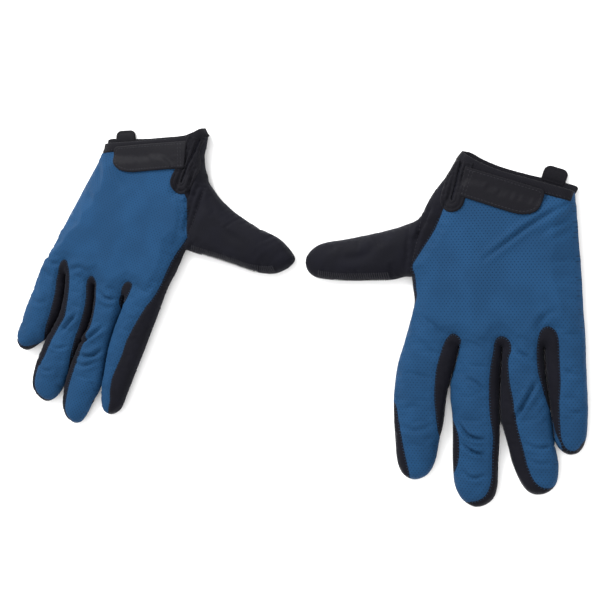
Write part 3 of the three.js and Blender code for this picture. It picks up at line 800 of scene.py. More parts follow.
def lattice(graph, x, y, pitch_x, pitch_y):
    """Distance, in millimetres, from the nearest point of a staggered lattice."""
    gaps = []
    for shift in (0.0, 0.5):
        squares = []
        for value, pitch in ((x, pitch_x), (y, 2 * pitch_y)):
            cell = graph.math("FRACT", graph.math("MULTIPLY_ADD", value, 1 / pitch, shift))
            offset = graph.math("MULTIPLY", graph.math("SUBTRACT", cell, 0.5), pitch)
            squares.append(graph.math("MULTIPLY", offset, offset))
        gaps.append(graph.math("SQRT", graph.math("ADD", *squares)))
    return graph.math("MINIMUM", *gaps)


def knit_mesh():
    """Blue micro-mesh knit: fine wales with staggered eyelets. The eyelets are painted dark as painted shade, and the
    yarn is painted paler where it stands up as a painted highlight.
    """
    g = Graph("blue_mesh_knit")
    vector, x, y = g.flat()
    wobble = g.noise(vector, 0.35, 2.0)
    shifted = g.math("MULTIPLY_ADD", wobble, 0.35, x)
    eyelet = g.between(lattice(g, shifted, y, EYELET_PITCH, EYELET_PITCH * 0.72), 0.2, 0.48)
    wale = g.wave(shifted, 0.575)
    course = g.wave(y, 0.48)
    yarn = g.math("MULTIPLY", wale, g.math("MULTIPLY_ADD", course, 0.5, 0.5))
    broad = g.noise(vector, 0.045, 3.0)
    fine = g.noise(vector, 1.6, 2.0)
    tone = g.mix(g.between(broad, 0.3, 0.72), shade(BLUE, 0.9), shade(BLUE, 1.1))
    # Painted highlight: the yarn is painted paler where it stands up.
    tone = g.mix(g.math("MULTIPLY", yarn, 0.5), tone, shade(BLUE, 1.25))
    tone = g.mix(g.math("MULTIPLY", g.between(fine, 0.5, 0.8), 0.35), tone, shade(BLUE, 0.72))
    # Painted shade: the eyelets are painted dark blue, fainter in broad patches where the noise lessens the depth of
    # the shade.
    depth = g.math("MULTIPLY_ADD", g.noise(vector, 0.06, 2.0), -0.6, 1.15, clamp=True)
    unshaded_share = g.math("MAXIMUM", eyelet, g.math("SUBTRACT", 1.0, depth))
    colour = g.mix(unshaded_share, shade(BLUE, 0.36), tone)
    height = g.math("ADD", g.math("MULTIPLY", eyelet, 0.7), g.math("MULTIPLY", yarn, 0.3))
    rough = g.math("MULTIPLY_ADD", fine, 0.12, 0.66)
    return g.finish(colour, rough, height, 0.7, 0.00016, sheen=0.03, sheen_tint=(0.3, 0.6, 1, 1), specular=0.07)


def stretch_knit():
    """Black four-way stretch: a tight fine rib, painted paler on its crests as a painted highlight, with a faint bloom.
    """
    g = Graph("black_stretch_knit")
    vector, x, y = g.flat()
    rib = g.wave(g.math("ADD", x, g.math("MULTIPLY", g.noise(vector, 0.5, 2.0), 0.4)), 0.62)
    course = g.wave(y, 0.5)
    broad = g.noise(vector, 0.06, 3.0)
    lint = g.between(g.noise(vector, 2.6, 3.0, 0.7), 0.6, 0.78)
    tone = g.mix(g.between(broad, 0.3, 0.72), shade(BLACK, 0.78), shade(BLACK, 1.18))
    # Painted highlight: the crests of the rib are painted paler.
    tone = g.mix(g.math("MULTIPLY", rib, 0.5), tone, shade(BLACK, 1.5))
    colour = g.mix(g.math("MULTIPLY", lint, 0.5), tone, shade(BLACK, 2.1))
    height = g.math("ADD", g.math("MULTIPLY", rib, 0.6), g.math("MULTIPLY", course, 0.4))
    rough = g.math("MULTIPLY_ADD", broad, 0.14, 0.68)
    return g.finish(colour, rough, height, 0.5, 0.0001, sheen=0.03, sheen_tint=(0.8, 0.85, 1, 1))


def suede():
    """Black synthetic suede: fine pebbled grain with worn, paler high spots."""
    g = Graph("black_palm_suede")
    vector, x, y = g.flat()
    pebble = g.node("ShaderNodeTexVoronoi", voronoi_dimensions="2D", feature="SMOOTH_F1")
    g.plug(pebble.inputs["Vector"], vector)
    pebble.inputs["Scale"].default_value = 1.15
    grain = g.math("MULTIPLY_ADD", g.noise(vector, 2.0, 4.0, 0.6), 0.5, pebble.outputs["Distance"])
    wear = g.between(g.noise(vector, 0.07, 4.0, 0.6), 0.5, 0.75)
    tone = g.mix(g.math("MULTIPLY", grain, 0.7), shade(LEATHER, 0.7), shade(LEATHER, 1.25))
    colour = g.mix(g.math("MULTIPLY", wear, 0.4), tone, shade(LEATHER, 1.7))
    rough = g.math("MULTIPLY_ADD", grain, 0.2, 0.62)
    return g.finish(colour, rough, grain, 0.6, 0.00018, sheen=0.03)


def ribbed_tape():
    """Black elastic binding: ribs across the tape, painted paler on their crests and darker in the hollows, as painted
    highlight and painted shade.
    """
    g = Graph("black_ribbed_tape")
    vector, x, y = g.flat()
    rib = g.wave(x, 0.9)
    weave = g.wave(y, 0.6)
    broad = g.noise(vector, 0.15, 3.0)
    # Painted highlight and painted shade: the crests of the ribs are painted paler, the hollows darker.
    tone = g.mix(rib, shade(TAPE_BLACK, 0.65), shade(TAPE_BLACK, 1.45))
    colour = g.mix(g.math("MULTIPLY", broad, 0.5), tone, shade(TAPE_BLACK, 1.3))
    height = g.math("ADD", g.math("MULTIPLY", rib, 0.8), g.math("MULTIPLY", weave, 0.2))
    rough = g.math("MULTIPLY_ADD", weave, 0.1, 0.7)
    return g.finish(colour, rough, height, 0.6, 0.00016, sheen=0.03)


def laminate():
    """Black strap: tight twill with a slight gloss and scuffed places, and a painted highlight on the twill's ridges.
    """
    g = Graph("black_strap_twill")
    vector, x, y = g.flat()
    twill = g.wave(g.math("ADD", x, y), 0.75)
    cross = g.wave(g.math("SUBTRACT", x, g.math("MULTIPLY", y, 2.2)), 1.1)
    scuff = g.between(g.noise(vector, 0.3, 5.0, 0.65), 0.55, 0.75)
    # Painted highlight: where the twill rises, crossed by a second wave, the strap is painted paler.
    tone = g.mix(g.math("MULTIPLY", twill, cross), shade(STRAP_BLACK, 0.85), shade(STRAP_BLACK, 1.3))
    colour = g.mix(g.math("MULTIPLY", scuff, 0.35), tone, shade(STRAP_BLACK, 1.7))
    rough = g.math("MULTIPLY_ADD", scuff, 0.15, 0.58)
    return g.finish(colour, rough, twill, 0.45, 0.0001, sheen=0.02)


def pile(name, hook):
    """Hook or loop tape: dense little tufts, painted paler where they rise and darker between them, as painted
    highlight and painted shade.
    """
    g = Graph(name)
    vector, x, y = g.flat()
    if hook:
        tuft = g.between(lattice(g, x, y, 1.3, 0.65), 0.5, 0.15)
    else:
        tuft = g.noise(vector, 2.4, 5.0, 0.75)
    # Painted highlight and painted shade: the tufts are painted paler, the ground between them darker.
    colour = g.mix(tuft, shade(FASTENER, 0.6), shade(FASTENER, 1.8))
    rough = g.math("MULTIPLY_ADD", tuft, 0.15, 0.75)
    return g.finish(colour, rough, tuft, 0.8, 0.0004, sheen=0.05)


def thread(name, colour):
    """Sewing thread: two twisted plies, painted paler on their crests and darker in the twist, as painted highlight and
    painted shade.
    """
    g = Graph(name)
    vector, x, y = g.flat()
    ply = g.wave(g.math("ADD", x, y), 0.45)
    # Painted highlight and painted shade: the crests of the plies are painted paler, the twist between them darker.
    tone = g.mix(ply, shade(colour, 0.7), shade(colour, 1.25))
    rough = g.math("MULTIPLY_ADD", ply, 0.1, 0.55)
    return g.finish(tone, rough, ply, 0.4, 0.0001, sheen=0.03)


EYELET_PITCH = 2.3
BLUE = (0.0078, 0.0365, 0.0900)
BLACK = (0.0030, 0.0030, 0.0054)
LEATHER = (0.0030, 0.0030, 0.0050)
TAPE_BLACK = (0.0036, 0.0035, 0.0054)
STRAP_BLACK = (0.0040, 0.0038, 0.0058)
FASTENER = (0.005, 0.005, 0.0065)
THREAD_BLACK = (0.016, 0.016, 0.020)
THREAD_BLUE = (0.014, 0.040, 0.078)
MATERIALS = {
    "blue_mesh": knit_mesh(), "black_stretch": stretch_knit(), "palm_leather": suede(), "knit_binding": ribbed_tape(),
    "strap_fabric": laminate(), "fastener_tape": pile("black_loop_pile", False), "hook_tape": pile("black_hooks", True),
    "black_thread": thread("black_sewing_thread", THREAD_BLACK),
    "blue_thread": thread("blue_sewing_thread", THREAD_BLUE),
}


# ---- Panels ----

SLOT_OF = {"palm_panel": "palm_leather", "back_panel": "blue_mesh", "thumb_gore": "black_stretch",
    "index_side": "black_stretch", "heel_side": "black_stretch", "thumb_palm": "palm_leather",
    "thumb_back": "black_stretch"}
for finger_name in FINGERS:
    SLOT_OF[f"{finger_name}_palm"] = "palm_leather"
    SLOT_OF[f"{finger_name}_back"] = "blue_mesh"
    SLOT_OF[f"{finger_name}_inner_side"] = "black_stretch"
    SLOT_OF[f"{finger_name}_outer_side"] = "black_stretch"


class Glove:
    """One glove: its pattern, place, cloth, and the ways its pieces ride."""

    def __init__(self, pattern, seed):
        self.pattern = pattern
        self.side = pattern["side"]
        self.place = Place(pattern)
        cloth = build_cloth(pattern, seed)
        self.cloth = shape_cloth(pattern, puff(cloth))
        self.normals = vertex_normals(self.cloth["verts"], self.cloth["faces"])
        self.flat = unrolled(pattern, self.cloth)
        self.surface = Surface(self.cloth["verts"], self.cloth["faces"])

    def point(self, x, y, z):
        return tuple(self.place.row([(x, y, z)])[0])

    def settle(self, obj, part):
        """Makes a piece move with its part of the glove, such as the hand or the strap; a finger or thumb piece only
        has its placement baked into its mesh.
        """
        if part in FINGERS:
            middle = self.cloth["finger_lines"][FINGERS.index(part)]
            x = middle[np.argmax(middle[:, 1])][0]
            self.point(x, WEB_Y, 0)
            self.point(x, WEB_Y - BEND, 0)
            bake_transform(obj)
        elif part == "thumb":
            seam = self.cloth["thumb_seam"]
            run = seam[-1] - seam[0]
            out = np.array([run[1], -run[0]]) / np.linalg.norm(run)
            start = seam[len(seam) // 2]
            start = start + out * max((end - start) @ out for end in (seam[0], seam[-1]))
            end = start + out * BEND
            self.point(*start, 0)
            self.point(*end, 0)
            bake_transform(obj)
        else:
            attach(obj, f"{self.side}_{part}")
        return obj

    def panels(self):
        cloth = self.cloth
        for panel in sorted(set(cloth["panel"].tolist())):
            faces = cloth["faces"][cloth["panel"] == panel]
            used, index = np.unique(faces, return_inverse=True)
            verts, normals, body = shell(cloth["verts"][used], self.normals[used], index.reshape(faces.shape), SKIN)
            kind = "under" if panel.endswith("palm") or panel == "palm_panel" else "wrapped"
            uv = self.flat[kind][used]
            slot = SLOT_OF[panel]
            obj = new_object(f"{self.side}_{panel}_cloth", self.place, verts, body, np.vstack([uv, uv]),
                MATERIALS[slot], normals)
            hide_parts(f"{self.side}_{panel}")
            part = panel.split("_")[0]
            self.settle(obj, part if part in FINGERS and panel != "index_side" or panel.startswith("thumb_")
                and panel != "thumb_gore" else "hand")


# ---- Trims ----

def flat_pad(outline, lift, thick, edge, step=1.2, waves=None):
    """A flat piece with rounded edges lying on a surface: lift gives the height of its underside."""
    ring = resample(np.vstack([outline, outline[:1]]), step)[:-1]
    inner = [offset_line(np.vstack([ring, ring[:1]]), by)[:-1] for by in (0.25 * edge, 0.8 * edge, 1.6 * edge)]
    rng = np.random.default_rng(3)
    lines = []
    for line in inner:
        kept = line[inside(line, ring)]
        gap, _ = distance(kept, ring, closed=True)
        lines += [kept[i:i + 1] for i in range(len(kept)) if gap[i] > 0.15 * edge]
    plan, faces = triangulate(ring, lines, step, rng)
    gap, _ = distance(plan, ring, closed=True)
    base = np.array([lift(x, y) for x, y in plan])
    depth = thick * (0.45 + 0.55 * rounded(gap / edge))
    if waves is not None:
        depth = depth + waves(plan, gap)
    top = np.column_stack([plan, base + depth])
    low = np.column_stack([plan, base + 0.12 * thick * (1 - rounded(gap / edge))])
    count = len(plan)
    edges = {}
    for a, b, c in faces.tolist():
        for pair in ((a, b), (b, c), (c, a)):
            edges[pair] = True
    rim = [(b, a, a + count, b + count) for a, b in edges if (b, a) not in edges]
    body = faces.tolist() + [[c + count, b + count, a + count] for a, b, c in faces.tolist()] + rim
    return np.vstack([top, low]), body, np.vstack([plan, plan])


def tube(path, normals, profile, closed=False):
    """A band swept along a path; profile lists (across, out) in the plane of side and normal at each point."""
    tangent = np.gradient(path, axis=0)
    if closed:
        tangent = np.roll(path, -1, axis=0) - np.roll(path, 1, axis=0)
    tangent /= np.maximum(np.linalg.norm(tangent, axis=1), 1e-9)[:, None]
    side = np.cross(tangent, normals)
    side /= np.maximum(np.linalg.norm(side, axis=1), 1e-9)[:, None]
    rings = [path + side * a + normals * b for a, b in profile]
    verts = np.stack(rings, axis=1)
    n, m = len(path), len(profile)
    faces = []
    for i in range(n if closed else n - 1):
        j = (i + 1) % n
        for k in range(m):
            h = (k + 1) % m
            faces.append((i * m + k, i * m + h, j * m + h, j * m + k))
    if not closed:
        faces.append(tuple(range(m))[::-1])
        faces.append(tuple((n - 1) * m + k for k in range(m)))
    along = np.concatenate([[0], np.cumsum(np.linalg.norm(np.diff(path, axis=0), axis=1))])
    around = np.concatenate([[0], np.cumsum(np.linalg.norm(np.diff(np.array(profile), axis=0), axis=1))])
    uv = np.stack(np.meshgrid(along, around, indexing="ij"), axis=2).reshape(-1, 2)
    return verts.reshape(-1, 3), faces, uv


def beads(centres, directions, normals, length, width, height):
    """Short stitches: one small rounded bar at each centre, lying along its direction."""
    stations = [(-1, 0.15, 0.1), (-0.72, 0.8, 0.75), (0, 1.0, 1.0), (0.72, 0.8, 0.75), (1, 0.15, 0.1)]
    section = [(-1, 0), (-0.6, 0.8), (0.6, 0.8), (1, 0), (0, -0.5)]
    verts, faces, uv = [], [], []
    for centre, direction, normal in zip(centres, directions, normals):
        side = np.cross(normal, direction)
        start = len(verts)
        for t, wide, tall in stations:
            for a, b in section:
                verts.append(centre + direction * t * length / 2 + side * a * wide * width / 2
                    + normal * (b * tall * height))
                uv.append((centre[0] + t * length / 2, centre[1] + a * width / 2))
        count = len(section)
        for i in range(len(stations) - 1):
            for k in range(count):
                h = (k + 1) % count
                low, high = start + i * count, start + (i + 1) * count
                faces.append((low + k, low + h, high + h, high + k))
        faces.append(tuple(start + k for k in range(count))[::-1])
        last = start + (len(stations) - 1) * count
        faces.append(tuple(last + k for k in range(count)))
    return np.array(verts), faces, np.array(uv)


def fix_outward(faces, verts):
    """Faces turned so that a closed mesh faces outwards."""
    mesh = bmesh.new()
    made = [mesh.verts.new(v) for v in verts]
    for face in faces:
        mesh.faces.new([made[i] for i in face])
    bmesh.ops.recalc_face_normals(mesh, faces=mesh.faces[:])
    mesh.verts.index_update()
    turned = [tuple(v.index for v in face.verts) for face in mesh.faces]
    mesh.free()
    return turned


def trim(glove, name, made, material, part, replaced=()):
    verts, faces, uv = made
    obj = new_object(f"{glove.side}_{name}", glove.place, verts, fix_outward(faces, verts), uv, material)
    if replaced:
        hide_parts(*replaced)
    return glove.settle(obj, part)


def on_top(glove, plan, lift=0.0):
    """Points of the plan laid on the back, with the normals there."""
    places, normals = [], []
    for x, y in plan:
        z, normal = glove.surface.top(x, y)
        places.append((x, y, z))
        normals.append(tuple(normal))
    places, normals = np.array(places), np.array(normals)
    return places + normals * lift, normals


def seam_stitches(glove):
    """Overlock stitches along the edge of the blue back, on the hand and on every finger."""
    line = resample(np.vstack([glove.cloth["edge_line"], glove.cloth["edge_line"][:1]]), STITCH_PITCH)
    side_gap, _ = distance(line, glove.cloth["side_line"])
    keep = inside(line, glove.cloth["outline"]) & (side_gap > 1.3)
    slit_gap, _ = distance(line, glove.slit_line)
    keep &= slit_gap > 7.5
    tangent = np.gradient(line, axis=0)
    tangent /= np.linalg.norm(tangent, axis=1)[:, None]
    line, tangent = line[keep], tangent[keep]
    owner = np.full(len(line), "hand", dtype=object)
    best = np.full(len(line), 1e9)
    for name, middle in zip(FINGERS, glove.cloth["finger_lines"]):
        gap, _ = distance(line, middle)
        mine = (line[:, 1] < WEB_Y) & (gap < best)
        best = np.where(mine, gap, best)
        owner[mine] = name
    for part in ("hand", *FINGERS):
        chosen = owner == part
        if chosen.sum() < 3:
            continue
        centres, normals = on_top(glove, line[chosen] - 0.5 * np.column_stack(
            [-tangent[chosen][:, 1], tangent[chosen][:, 0]]), -0.02)
        slant = np.column_stack([-tangent[chosen][:, 1] + 0.35 * tangent[chosen][:, 0],
            tangent[chosen][:, 0] + 0.35 * tangent[chosen][:, 1], np.zeros(chosen.sum())])
        slant -= normals * (slant * normals).sum(1)[:, None]
        slant /= np.linalg.norm(slant, axis=1)[:, None]
        made = beads(centres, slant, normals, 1.0, 0.36, 0.14)
        name = f"{part}_seam_stitches"
        trim(glove, name, made, MATERIALS["blue_thread"], part)


def thumb_ribs(glove):
    """The gathered seam along the lower edge of the thumb: short ridges across it, side by side."""
    run = smooth(glove.pattern["thumb_run"], 0.2)
    tip = np.argmin(run[:, 0])
    lower = run[tip:]
    lower = lower[(lower[:, 0] > run[tip][0] + 10) & (lower[:, 0] < -56)]
    lower = resample(lower, RIB_PITCH)
    tangent = np.gradient(lower, axis=0)
    tangent /= np.linalg.norm(tangent, axis=1)[:, None]
    inward = np.column_stack([-tangent[:, 1], tangent[:, 0]])
    verts, faces, uv = [], [], []
    for foot, direction in zip(lower, inward):
        plan = [foot + direction * s for s in (0.45, 1.2, 2.2, 3.3, 4.4, 5.2)]
        path, normals = on_top(glove, plan, -0.15)
        profile = [(-0.42, 0), (-0.28, 0.5), (0, 0.66), (0.28, 0.5), (0.42, 0), (0, -0.3)]
        v, f, t = tube(path, normals, profile)
        start = len(verts)
        verts += v.tolist()
        faces += [tuple(start + i for i in face) for face in f]
        uv += (t + foot).tolist()
    trim(glove, "thumb_gathered_seam", (np.array(verts), faces, np.array(uv)),
        MATERIALS["black_thread"], "thumb")


def cuff_tape(glove):
    """The tape that binds the cuff all the way round, over the edge of both layers."""
    cloth = glove.cloth
    verts = cloth["verts"]
    back = resample(cloth["back_cuff"], 1.3)
    heel = np.argmax(cloth["palm_cuff"][:, 0])
    palm = resample(cloth["palm_cuff"][heel:], 1.3)
    tree = BVHTree.FromPolygons(verts.tolist(), cloth["faces"][~cloth["is_top"]].tolist())

    def low(x, y):
        near = tree.ray_cast(Vector((x, y, -20)), Vector((0, 0, 1)))
        if near[0] is None:
            return tree.find_nearest(Vector((x, y, 1)))[0].z
        return near[0].z

    pieces = []
    for name, line, sign in (("back", back, 1), ("palm", palm, -1)):
        steps = np.arange(len(line))
        tangent = line[np.minimum(steps + 7, len(line) - 1)] - line[np.maximum(steps - 7, 0)]
        tangent /= np.linalg.norm(tangent, axis=1)[:, None]
        down = np.column_stack([tangent[:, 1], -tangent[:, 0]])
        down *= np.where(down[:, 1:2] > 0, -1, 1)
        stations = ((TAPE, 0.12), (TAPE - 0.3, 0.62), (TAPE * 0.66, 0.8), (TAPE * 0.33, 0.8), (0.5, 0.72), (-0.25, 0.4),
            (-0.45, -0.2), (-0.2, -0.9), (0.6, -1.25), (TAPE * 0.5, -1.3), (TAPE - 0.8, -1.2), (TAPE - 0.6, -0.4))
        rows = []
        for p, d in zip(line, down):
            ring = []
            for reach, out in stations:
                q = p + d * max(reach, 0.8)
                if sign > 0:
                    z = glove.surface.top(q[0], q[1])[0] + out
                else:
                    z = low(q[0], q[1]) - out
                place = p + d * reach
                ring.append((place[0], place[1], z))
            rows.append(ring)
        pieces.append((name, rows, line, stations))
    for name, rows, line, stations in pieces:
        grid = np.array(rows)
        n, m = grid.shape[:2]
        faces = []
        for i in range(n - 1):
            for k in range(m):
                h = (k + 1) % m
                faces.append((i * m + k, i * m + h, (i + 1) * m + h, (i + 1) * m + k))
        faces.append(tuple(range(m))[::-1])
        faces.append(tuple((n - 1) * m + k for k in range(m)))
        along = np.concatenate([[0], np.cumsum(np.linalg.norm(np.diff(line, axis=0), axis=1))])
        around = np.concatenate([[0], np.cumsum(np.linalg.norm(np.diff(np.array(stations), axis=0), axis=1))])
        uv = np.stack(np.meshgrid(along, around, indexing="ij"), axis=2).reshape(-1, 2)
        replaced = (f"{glove.side}_cuff_binding",) if name == "back" else ()
        trim(glove, f"cuff_tape_{name}", (grid.reshape(-1, 3), faces, uv),
            MATERIALS["knit_binding"], "hand", replaced)


def tape_stitches(glove):
    """Sewing along the inner edge of the cuff tape, and along the seam between the thumb and the hand."""
    cuff = resample(glove.cloth["back_cuff"], SEWING_PITCH)
    inward = offset_line(cuff, TAPE - 1.3)
    outward = offset_line(cuff, 1.3 - TAPE)
    rows = {"cuff_sewing": inward if inward[:, 1].mean() < outward[:, 1].mean() else outward}
    rows["thumb_seam_sewing"] = resample(glove.cloth["thumb_seam"], SEWING_PITCH)
    for name, line in rows.items():
        slit_gap, _ = distance(line, glove.slit_line)
        rim_gap, _ = distance(line, glove.cloth["side_line"])
        lift = 0.72 if name == "cuff_sewing" else 0.0
        kept = line[inside(line, glove.cloth["outline"]) & (slit_gap > SLIT_HALF) & (rim_gap > 2)]
        tangent = np.gradient(kept, axis=0)
        tangent /= np.maximum(np.linalg.norm(tangent, axis=1), 1e-9)[:, None]
        centres, normals = on_top(glove, kept, lift)
        made = beads(centres, np.column_stack([tangent, np.zeros(len(kept))]), normals, 1.6, 0.42, 0.2)
        trim(glove, name, made, MATERIALS["black_thread"], "hand")


def slit_binding(glove):
    """The tape round the slit: two ridged legs and a rounded foot, with a gap between the legs over black cloth that is
    painted shade for the open slit.
    """
    foot = np.array(glove.pattern["slit"]["foot"], float)
    top = np.array(glove.pattern["slit"]["top"], float)
    axis = (top - foot) / np.linalg.norm(top - foot)
    across = np.array([axis[1], -axis[0]])
    half, gap = SLIT_HALF, SLIT_CRACK
    reach = np.linalg.norm(top - foot) - 3.5

    def beside(along, sideways):
        """A point beside the slit, drawn in where the glove's edge is nearer."""
        for share in np.linspace(1, 0.3, 15):
            point = foot + axis * along + across * sideways * share
            gap, _ = distance(point[None], glove.cloth["side_line"])
            if inside(point[None], glove.cloth["outline"])[0] and gap[0] > 1.2:
                break
        return point

    levels = np.linspace(reach, half + 1, 9)
    bend = np.radians(np.arange(90, -91, -18))
    outline = [beside(level, -half) for level in levels]
    outline += [beside(half - half * math.cos(a), -half * math.sin(a)) for a in bend]
    outline += [beside(level, half) for level in levels[::-1]]
    inner = [foot + axis * reach + across * gap, foot + axis * 8.6 + across * gap, foot + axis * 7.6,
        foot + axis * 8.6 - across * gap, foot + axis * reach - across * gap]
    outline = np.array(outline + inner)
    if glove_area(outline) < 0:
        outline = outline[::-1]

    def ridges(plan, edge_gap):
        return 0.36 * np.cos(2 * math.pi * (edge_gap - 1.1) / 2.2) * np.clip(edge_gap, 0, 1)

    made = flat_pad(outline, lambda x, y: glove.surface.top(x, y)[0] - 0.1, 1.3, 1.0, 0.7, ridges)
    trim(glove, "slit_ridged_binding", made, MATERIALS["knit_binding"], "hand",
        (f"{glove.side}_slit_binding",))


def glove_area(outline):
    x, y = outline[:, 0], outline[:, 1]
    return 0.5 * float(np.sum(x * np.roll(y, -1) - np.roll(x, -1) * y))


def strap_frame(glove):
    """The strap's root in the plan, and its directions along and across."""
    joint = JOINTS[f"{glove.side}_strap_peel"]
    root = glove.place.plan(joint["pos_m"])
    row = -glove.pattern["mirror"] * np.array(joint["axis"][:2])
    across = np.array([row @ glove.place.across, row @ glove.place.along])
    along = np.array([across[1], -across[0]])
    return root, along, across


def strap_outline(length, width, corner):
    half = width / 2
    points = [(-1.5, -half)]
    for degrees in range(0, 91, 15):
        a = math.radians(degrees)
        points.append((length - 2 * corner + 2 * corner * math.sin(a), -half + 1.15 * corner * (1 - math.cos(a))))
    for degrees in range(0, 91, 30):
        a = math.radians(degrees)
        points.append((length - 3 + 3 * math.cos(a), half - 3 + 3 * math.sin(a)))
    points.append((-1.5, half))
    return np.array(points)


def strap_and_fastener(glove):
    root, along, across = strap_frame(glove)
    top = glove.pattern["height"]

    def laid(points):
        turn = math.radians(glove.pattern["strap_turn"])
        ahead = along * math.cos(turn) - across * math.sin(turn)
        beside = across * math.cos(turn) + along * math.sin(turn)
        placed = [root + ahead * u + beside * (v - glove.pattern["strap_drop"]) for u, v in points]
        return np.array([p + along * max(0.0, STRAP_START - (p - root) @ along) for p in placed])

    def under(x, y):
        """The strap lies flat over the back, and sinks a little towards its edges."""
        u = (np.array([x, y]) - root) @ along
        v = (np.array([x, y]) - root) @ across
        sag = 0.012 * max(0, abs(v) - 5) ** 2 + 0.25 * math.sin(u / 9) * (v / 11)
        return max(glove.surface.top(x, y)[0] + 0.35, top + 1.35 - sag)

    length = glove.pattern["strap_length"]
    outline = laid(strap_outline(length, STRAP_WIDTH, STRAP_CORNER))
    made = flat_pad(outline, under, 1.15, 0.8, 1.3,
        lambda plan, gap: -0.22 * np.exp(-(((gap - 1.9) / 0.35) ** 2)))
    trim(glove, "closure_strap_twill", made, MATERIALS["strap_fabric"], "strap",
        (f"{glove.side}_closure_strap",))

    strap_tree = BVHTree.FromPolygons(made[0].tolist(), [tuple(f) for f in made[1]])

    def strap_top(plan):
        """Which of the points lie over the strap, and their places and normals there."""
        found = [strap_tree.ray_cast(Vector((x, y, 60)), Vector((0, 0, -1)))[:2] for x, y in plan]
        over = np.array([place is not None for place, _ in found])
        hits = [(tuple(place), tuple(normal)) for place, normal in found if place is not None]
        return over, np.array([place for place, _ in hits]), np.array([normal for _, normal in hits])

    # Stitching: a line inside the edge, and a box beside the slit.
    half = STRAP_WIDTH / 2
    edge = strap_outline(length - 1.8, STRAP_WIDTH - 3.6, STRAP_CORNER - 1)
    root_rows = [[(u, -half + 2.5), (u, half - 2.5)] for u in (4.2, 6.2)]
    for name, points in (("strap_edge_stitches", edge), ("strap_root_stitches_a", np.array(root_rows[0])),
        ("strap_root_stitches_b", np.array(root_rows[1]))):
        line = resample(laid(points), 2.3)
        tangent = np.gradient(line, axis=0)
        tangent /= np.maximum(np.linalg.norm(tangent, axis=1), 1e-9)[:, None]
        over, centres, normals = strap_top(line)
        along_line = np.column_stack([tangent, np.zeros(len(tangent))])[over]
        made_beads = beads(centres - normals * 0.03, along_line, normals, 1.7, 0.45, 0.16)
        trim(glove, name, made_beads, MATERIALS["black_thread"], "strap")

    # Hook patch under the strap, loop patch on the back.
    end = length - 4
    patch = [(end - PATCH_LENGTH, -PATCH_WIDTH / 2), (end, -PATCH_WIDTH / 2), (end, PATCH_WIDTH / 2),
        (end - PATCH_LENGTH, PATCH_WIDTH / 2)]
    made = flat_pad(laid(patch), lambda x, y: under(x, y) - 0.55, 0.6, 0.4, 1.5)
    trim(glove, "hook_patch_tape", made, MATERIALS["hook_tape"], "strap",
        (f"{glove.side}_hook_patch",))
    made = flat_pad(laid(patch), lambda x, y: glove.surface.top(x, y)[0] - 0.1, 0.6, 0.4, 1.5)
    trim(glove, "loop_patch_tape", made, MATERIALS["fastener_tape"], "hand",
        (f"{glove.side}_loop_patch",))


def pull_tab(glove):
    """The tab at the palm side of the cuff: a folded tape with a stitched edge."""
    joint = JOINTS[f"{glove.side}_tab_fold"]
    root = glove.place.plan(joint["pos_m"])
    row = glove.pattern["mirror"] * np.array(joint["axis"][:2])
    along = np.array([row @ glove.place.across, row @ glove.place.along])
    out = np.array([-along[1], along[0]])
    half = TAB_WIDTH / 2
    points = [(-half, -1.5), (half, -1.5)]
    inset = TAB_LENGTH - TAB_CORNER
    for centre, start in (((half - TAB_CORNER, inset), 0), ((-half + TAB_CORNER, inset), 90)):
        for degrees in range(start, start + 91, 15):
            a = math.radians(degrees)
            points.append((centre[0] + TAB_CORNER * math.cos(a), centre[1] + TAB_CORNER * math.sin(a)))
    outline = np.array([root + along * u + out * v for u, v in points])
    level = joint["pos_m"][2] / MM - 1.5

    def under(x, y):
        s = (np.array([x, y]) - root) @ out
        return level + 0.25 * math.sin(0.35 * s)

    made = flat_pad(outline, under, 1.7, 0.9, 0.9, lambda plan, gap: -0.3 * np.exp(-(((gap - 2.0) / 0.45) ** 2)))
    trim(glove, "pull_tab_tape", made, MATERIALS["strap_fabric"], "tab", (f"{glove.side}_pull_tab",))


def heel_pad(glove):
    """The padded heel under the palm, with two sewn channels."""
    low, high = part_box(f"{glove.side}_heel_pad")
    corners = np.array([glove.place.plan(p) for p in ((low.x, low.y), (high.x, low.y), (high.x, high.y),
        (low.x, high.y))])
    centre = corners.mean(0)
    shape = [(-46, 12), (-40, -8), (-26, -22), (0, -26), (26, -24), (40, -10), (38, 8), (28, 20), (0, 24), (-28, 22)]
    outline = smooth([*(centre + np.array(shape) * 0.86), centre + np.array(shape[0]) * 0.86], 2.0)[:-1]

    def channels(plan, gap):
        v = plan[:, 1] - centre[1]
        return 0.25 * np.exp(-(((v - 7) / 1.0) ** 2)) + 0.25 * np.exp(-(((v + 8) / 1.0) ** 2))

    made = flat_pad(outline, lambda x, y: 0.0, 0.95, 2.0, 2.2, lambda plan, gap: 0 * gap)
    verts, faces, uv = made
    count = len(verts) // 2
    lower = verts[count:]
    lower[:, 2] = channels(lower[:, :2], None) + 0.5 * (1 - rounded(distance(lower[:, :2], outline, True)[0] / 2))
    lower[:, 2] = np.minimum(lower[:, 2], verts[:count, 2] - 0.15)
    obj = trim(glove, "heel_pad_suede", (verts, faces, uv), MATERIALS["palm_leather"], "hand",
        (f"{glove.side}_heel_pad",))


STITCH_PITCH = 1.9
SEWING_PITCH = 2.3
RIB_PITCH = 1.55
SLIT_HALF = 8.2
SLIT_CRACK = 0.75
STRAP_WIDTH = 19.5
STRAP_START = 1.0  # from the hinge line, so that the strap clears the cloth as it peels open
STRAP_CORNER = 8.0
PATCH_LENGTH = 26.0
PATCH_WIDTH = 15.0
TAB_WIDTH = 15.5
TAB_LENGTH = 9.6
TAB_CORNER = 4.0

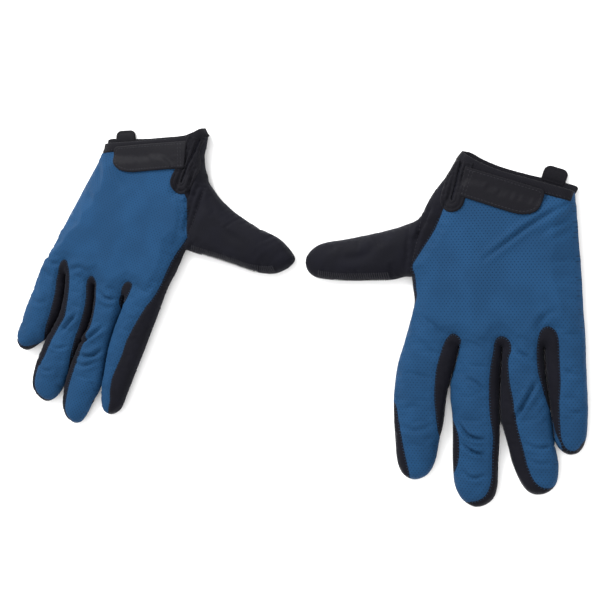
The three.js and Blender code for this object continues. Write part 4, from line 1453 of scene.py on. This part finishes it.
for number, pattern in enumerate((LEFT, RIGHT)):
    glove = Glove(pattern, 7 + number)
    glove.slit_line = np.array([pattern["slit"]["foot"], pattern["slit"]["top"]], float)
    glove.panels()
    seam_stitches(glove)
    thumb_ribs(glove)
    cuff_tape(glove)
    tape_stitches(glove)
    slit_binding(glove)
    strap_and_fastener(glove)
    pull_tab(glove)
    heel_pad(glove)


# ---- Floor, light and camera ----

def stage():
    floor_mesh = bpy.data.meshes.new("floor")
    reach = 6.0
    floor_mesh.from_pydata([(-reach, -reach, 0), (reach, -reach, 0), (reach, reach, 0), (-reach, reach, 0)], [],
        [(0, 1, 2, 3)])
    floor = bpy.data.objects.new("floor", floor_mesh)
    bpy.context.scene.collection.objects.link(floor)
    material = bpy.data.materials.new("pale_floor")
    material.use_nodes = True
    shader = material.node_tree.nodes["Principled BSDF"]
    shader.inputs["Base Color"].default_value = (0.93, 0.93, 0.93, 1)
    shader.inputs["Roughness"].default_value = 0.9
    shader.inputs["Specular IOR Level"].default_value = 0.1
    floor_mesh.materials.append(material)

    world = bpy.data.worlds.new("studio")
    world.use_nodes = True
    world.node_tree.nodes["Background"].inputs["Color"].default_value = (1, 1, 1, 1)
    world.node_tree.nodes["Background"].inputs["Strength"].default_value = 1.35
    bpy.context.scene.world = world
    for name, place, size, watts in (
        ("key", (-0.5, 0.85, 0.75), 0.6, 21.0),
        ("fill", (0.9, -0.3, 1.0), 1.2, 4.0),
    ):
        light = bpy.data.lights.new(name, "AREA")
        light.size = size
        light.energy = watts
        lamp = bpy.data.objects.new(name, light)
        bpy.context.scene.collection.objects.link(lamp)
        lamp.location = place
        lamp.rotation_euler = (-Vector(place)).to_track_quat("-Z", "Y").to_euler()


def camera():
    """A long lens above the pair, leaning towards the left-hand glove's side."""
    lens = bpy.data.cameras.new("camera")
    lens.sensor_width = 36
    lens.lens = 64.68
    made = bpy.data.objects.new("camera", lens)
    bpy.context.scene.collection.objects.link(made)
    made.location = (0.26443, 0.00355, 0.70103)
    made.rotation_euler = (0, math.radians(19.5), 0)
    bpy.context.scene.camera = made


stage()
camera()
bpy.context.scene.view_settings.view_transform = "Standard"
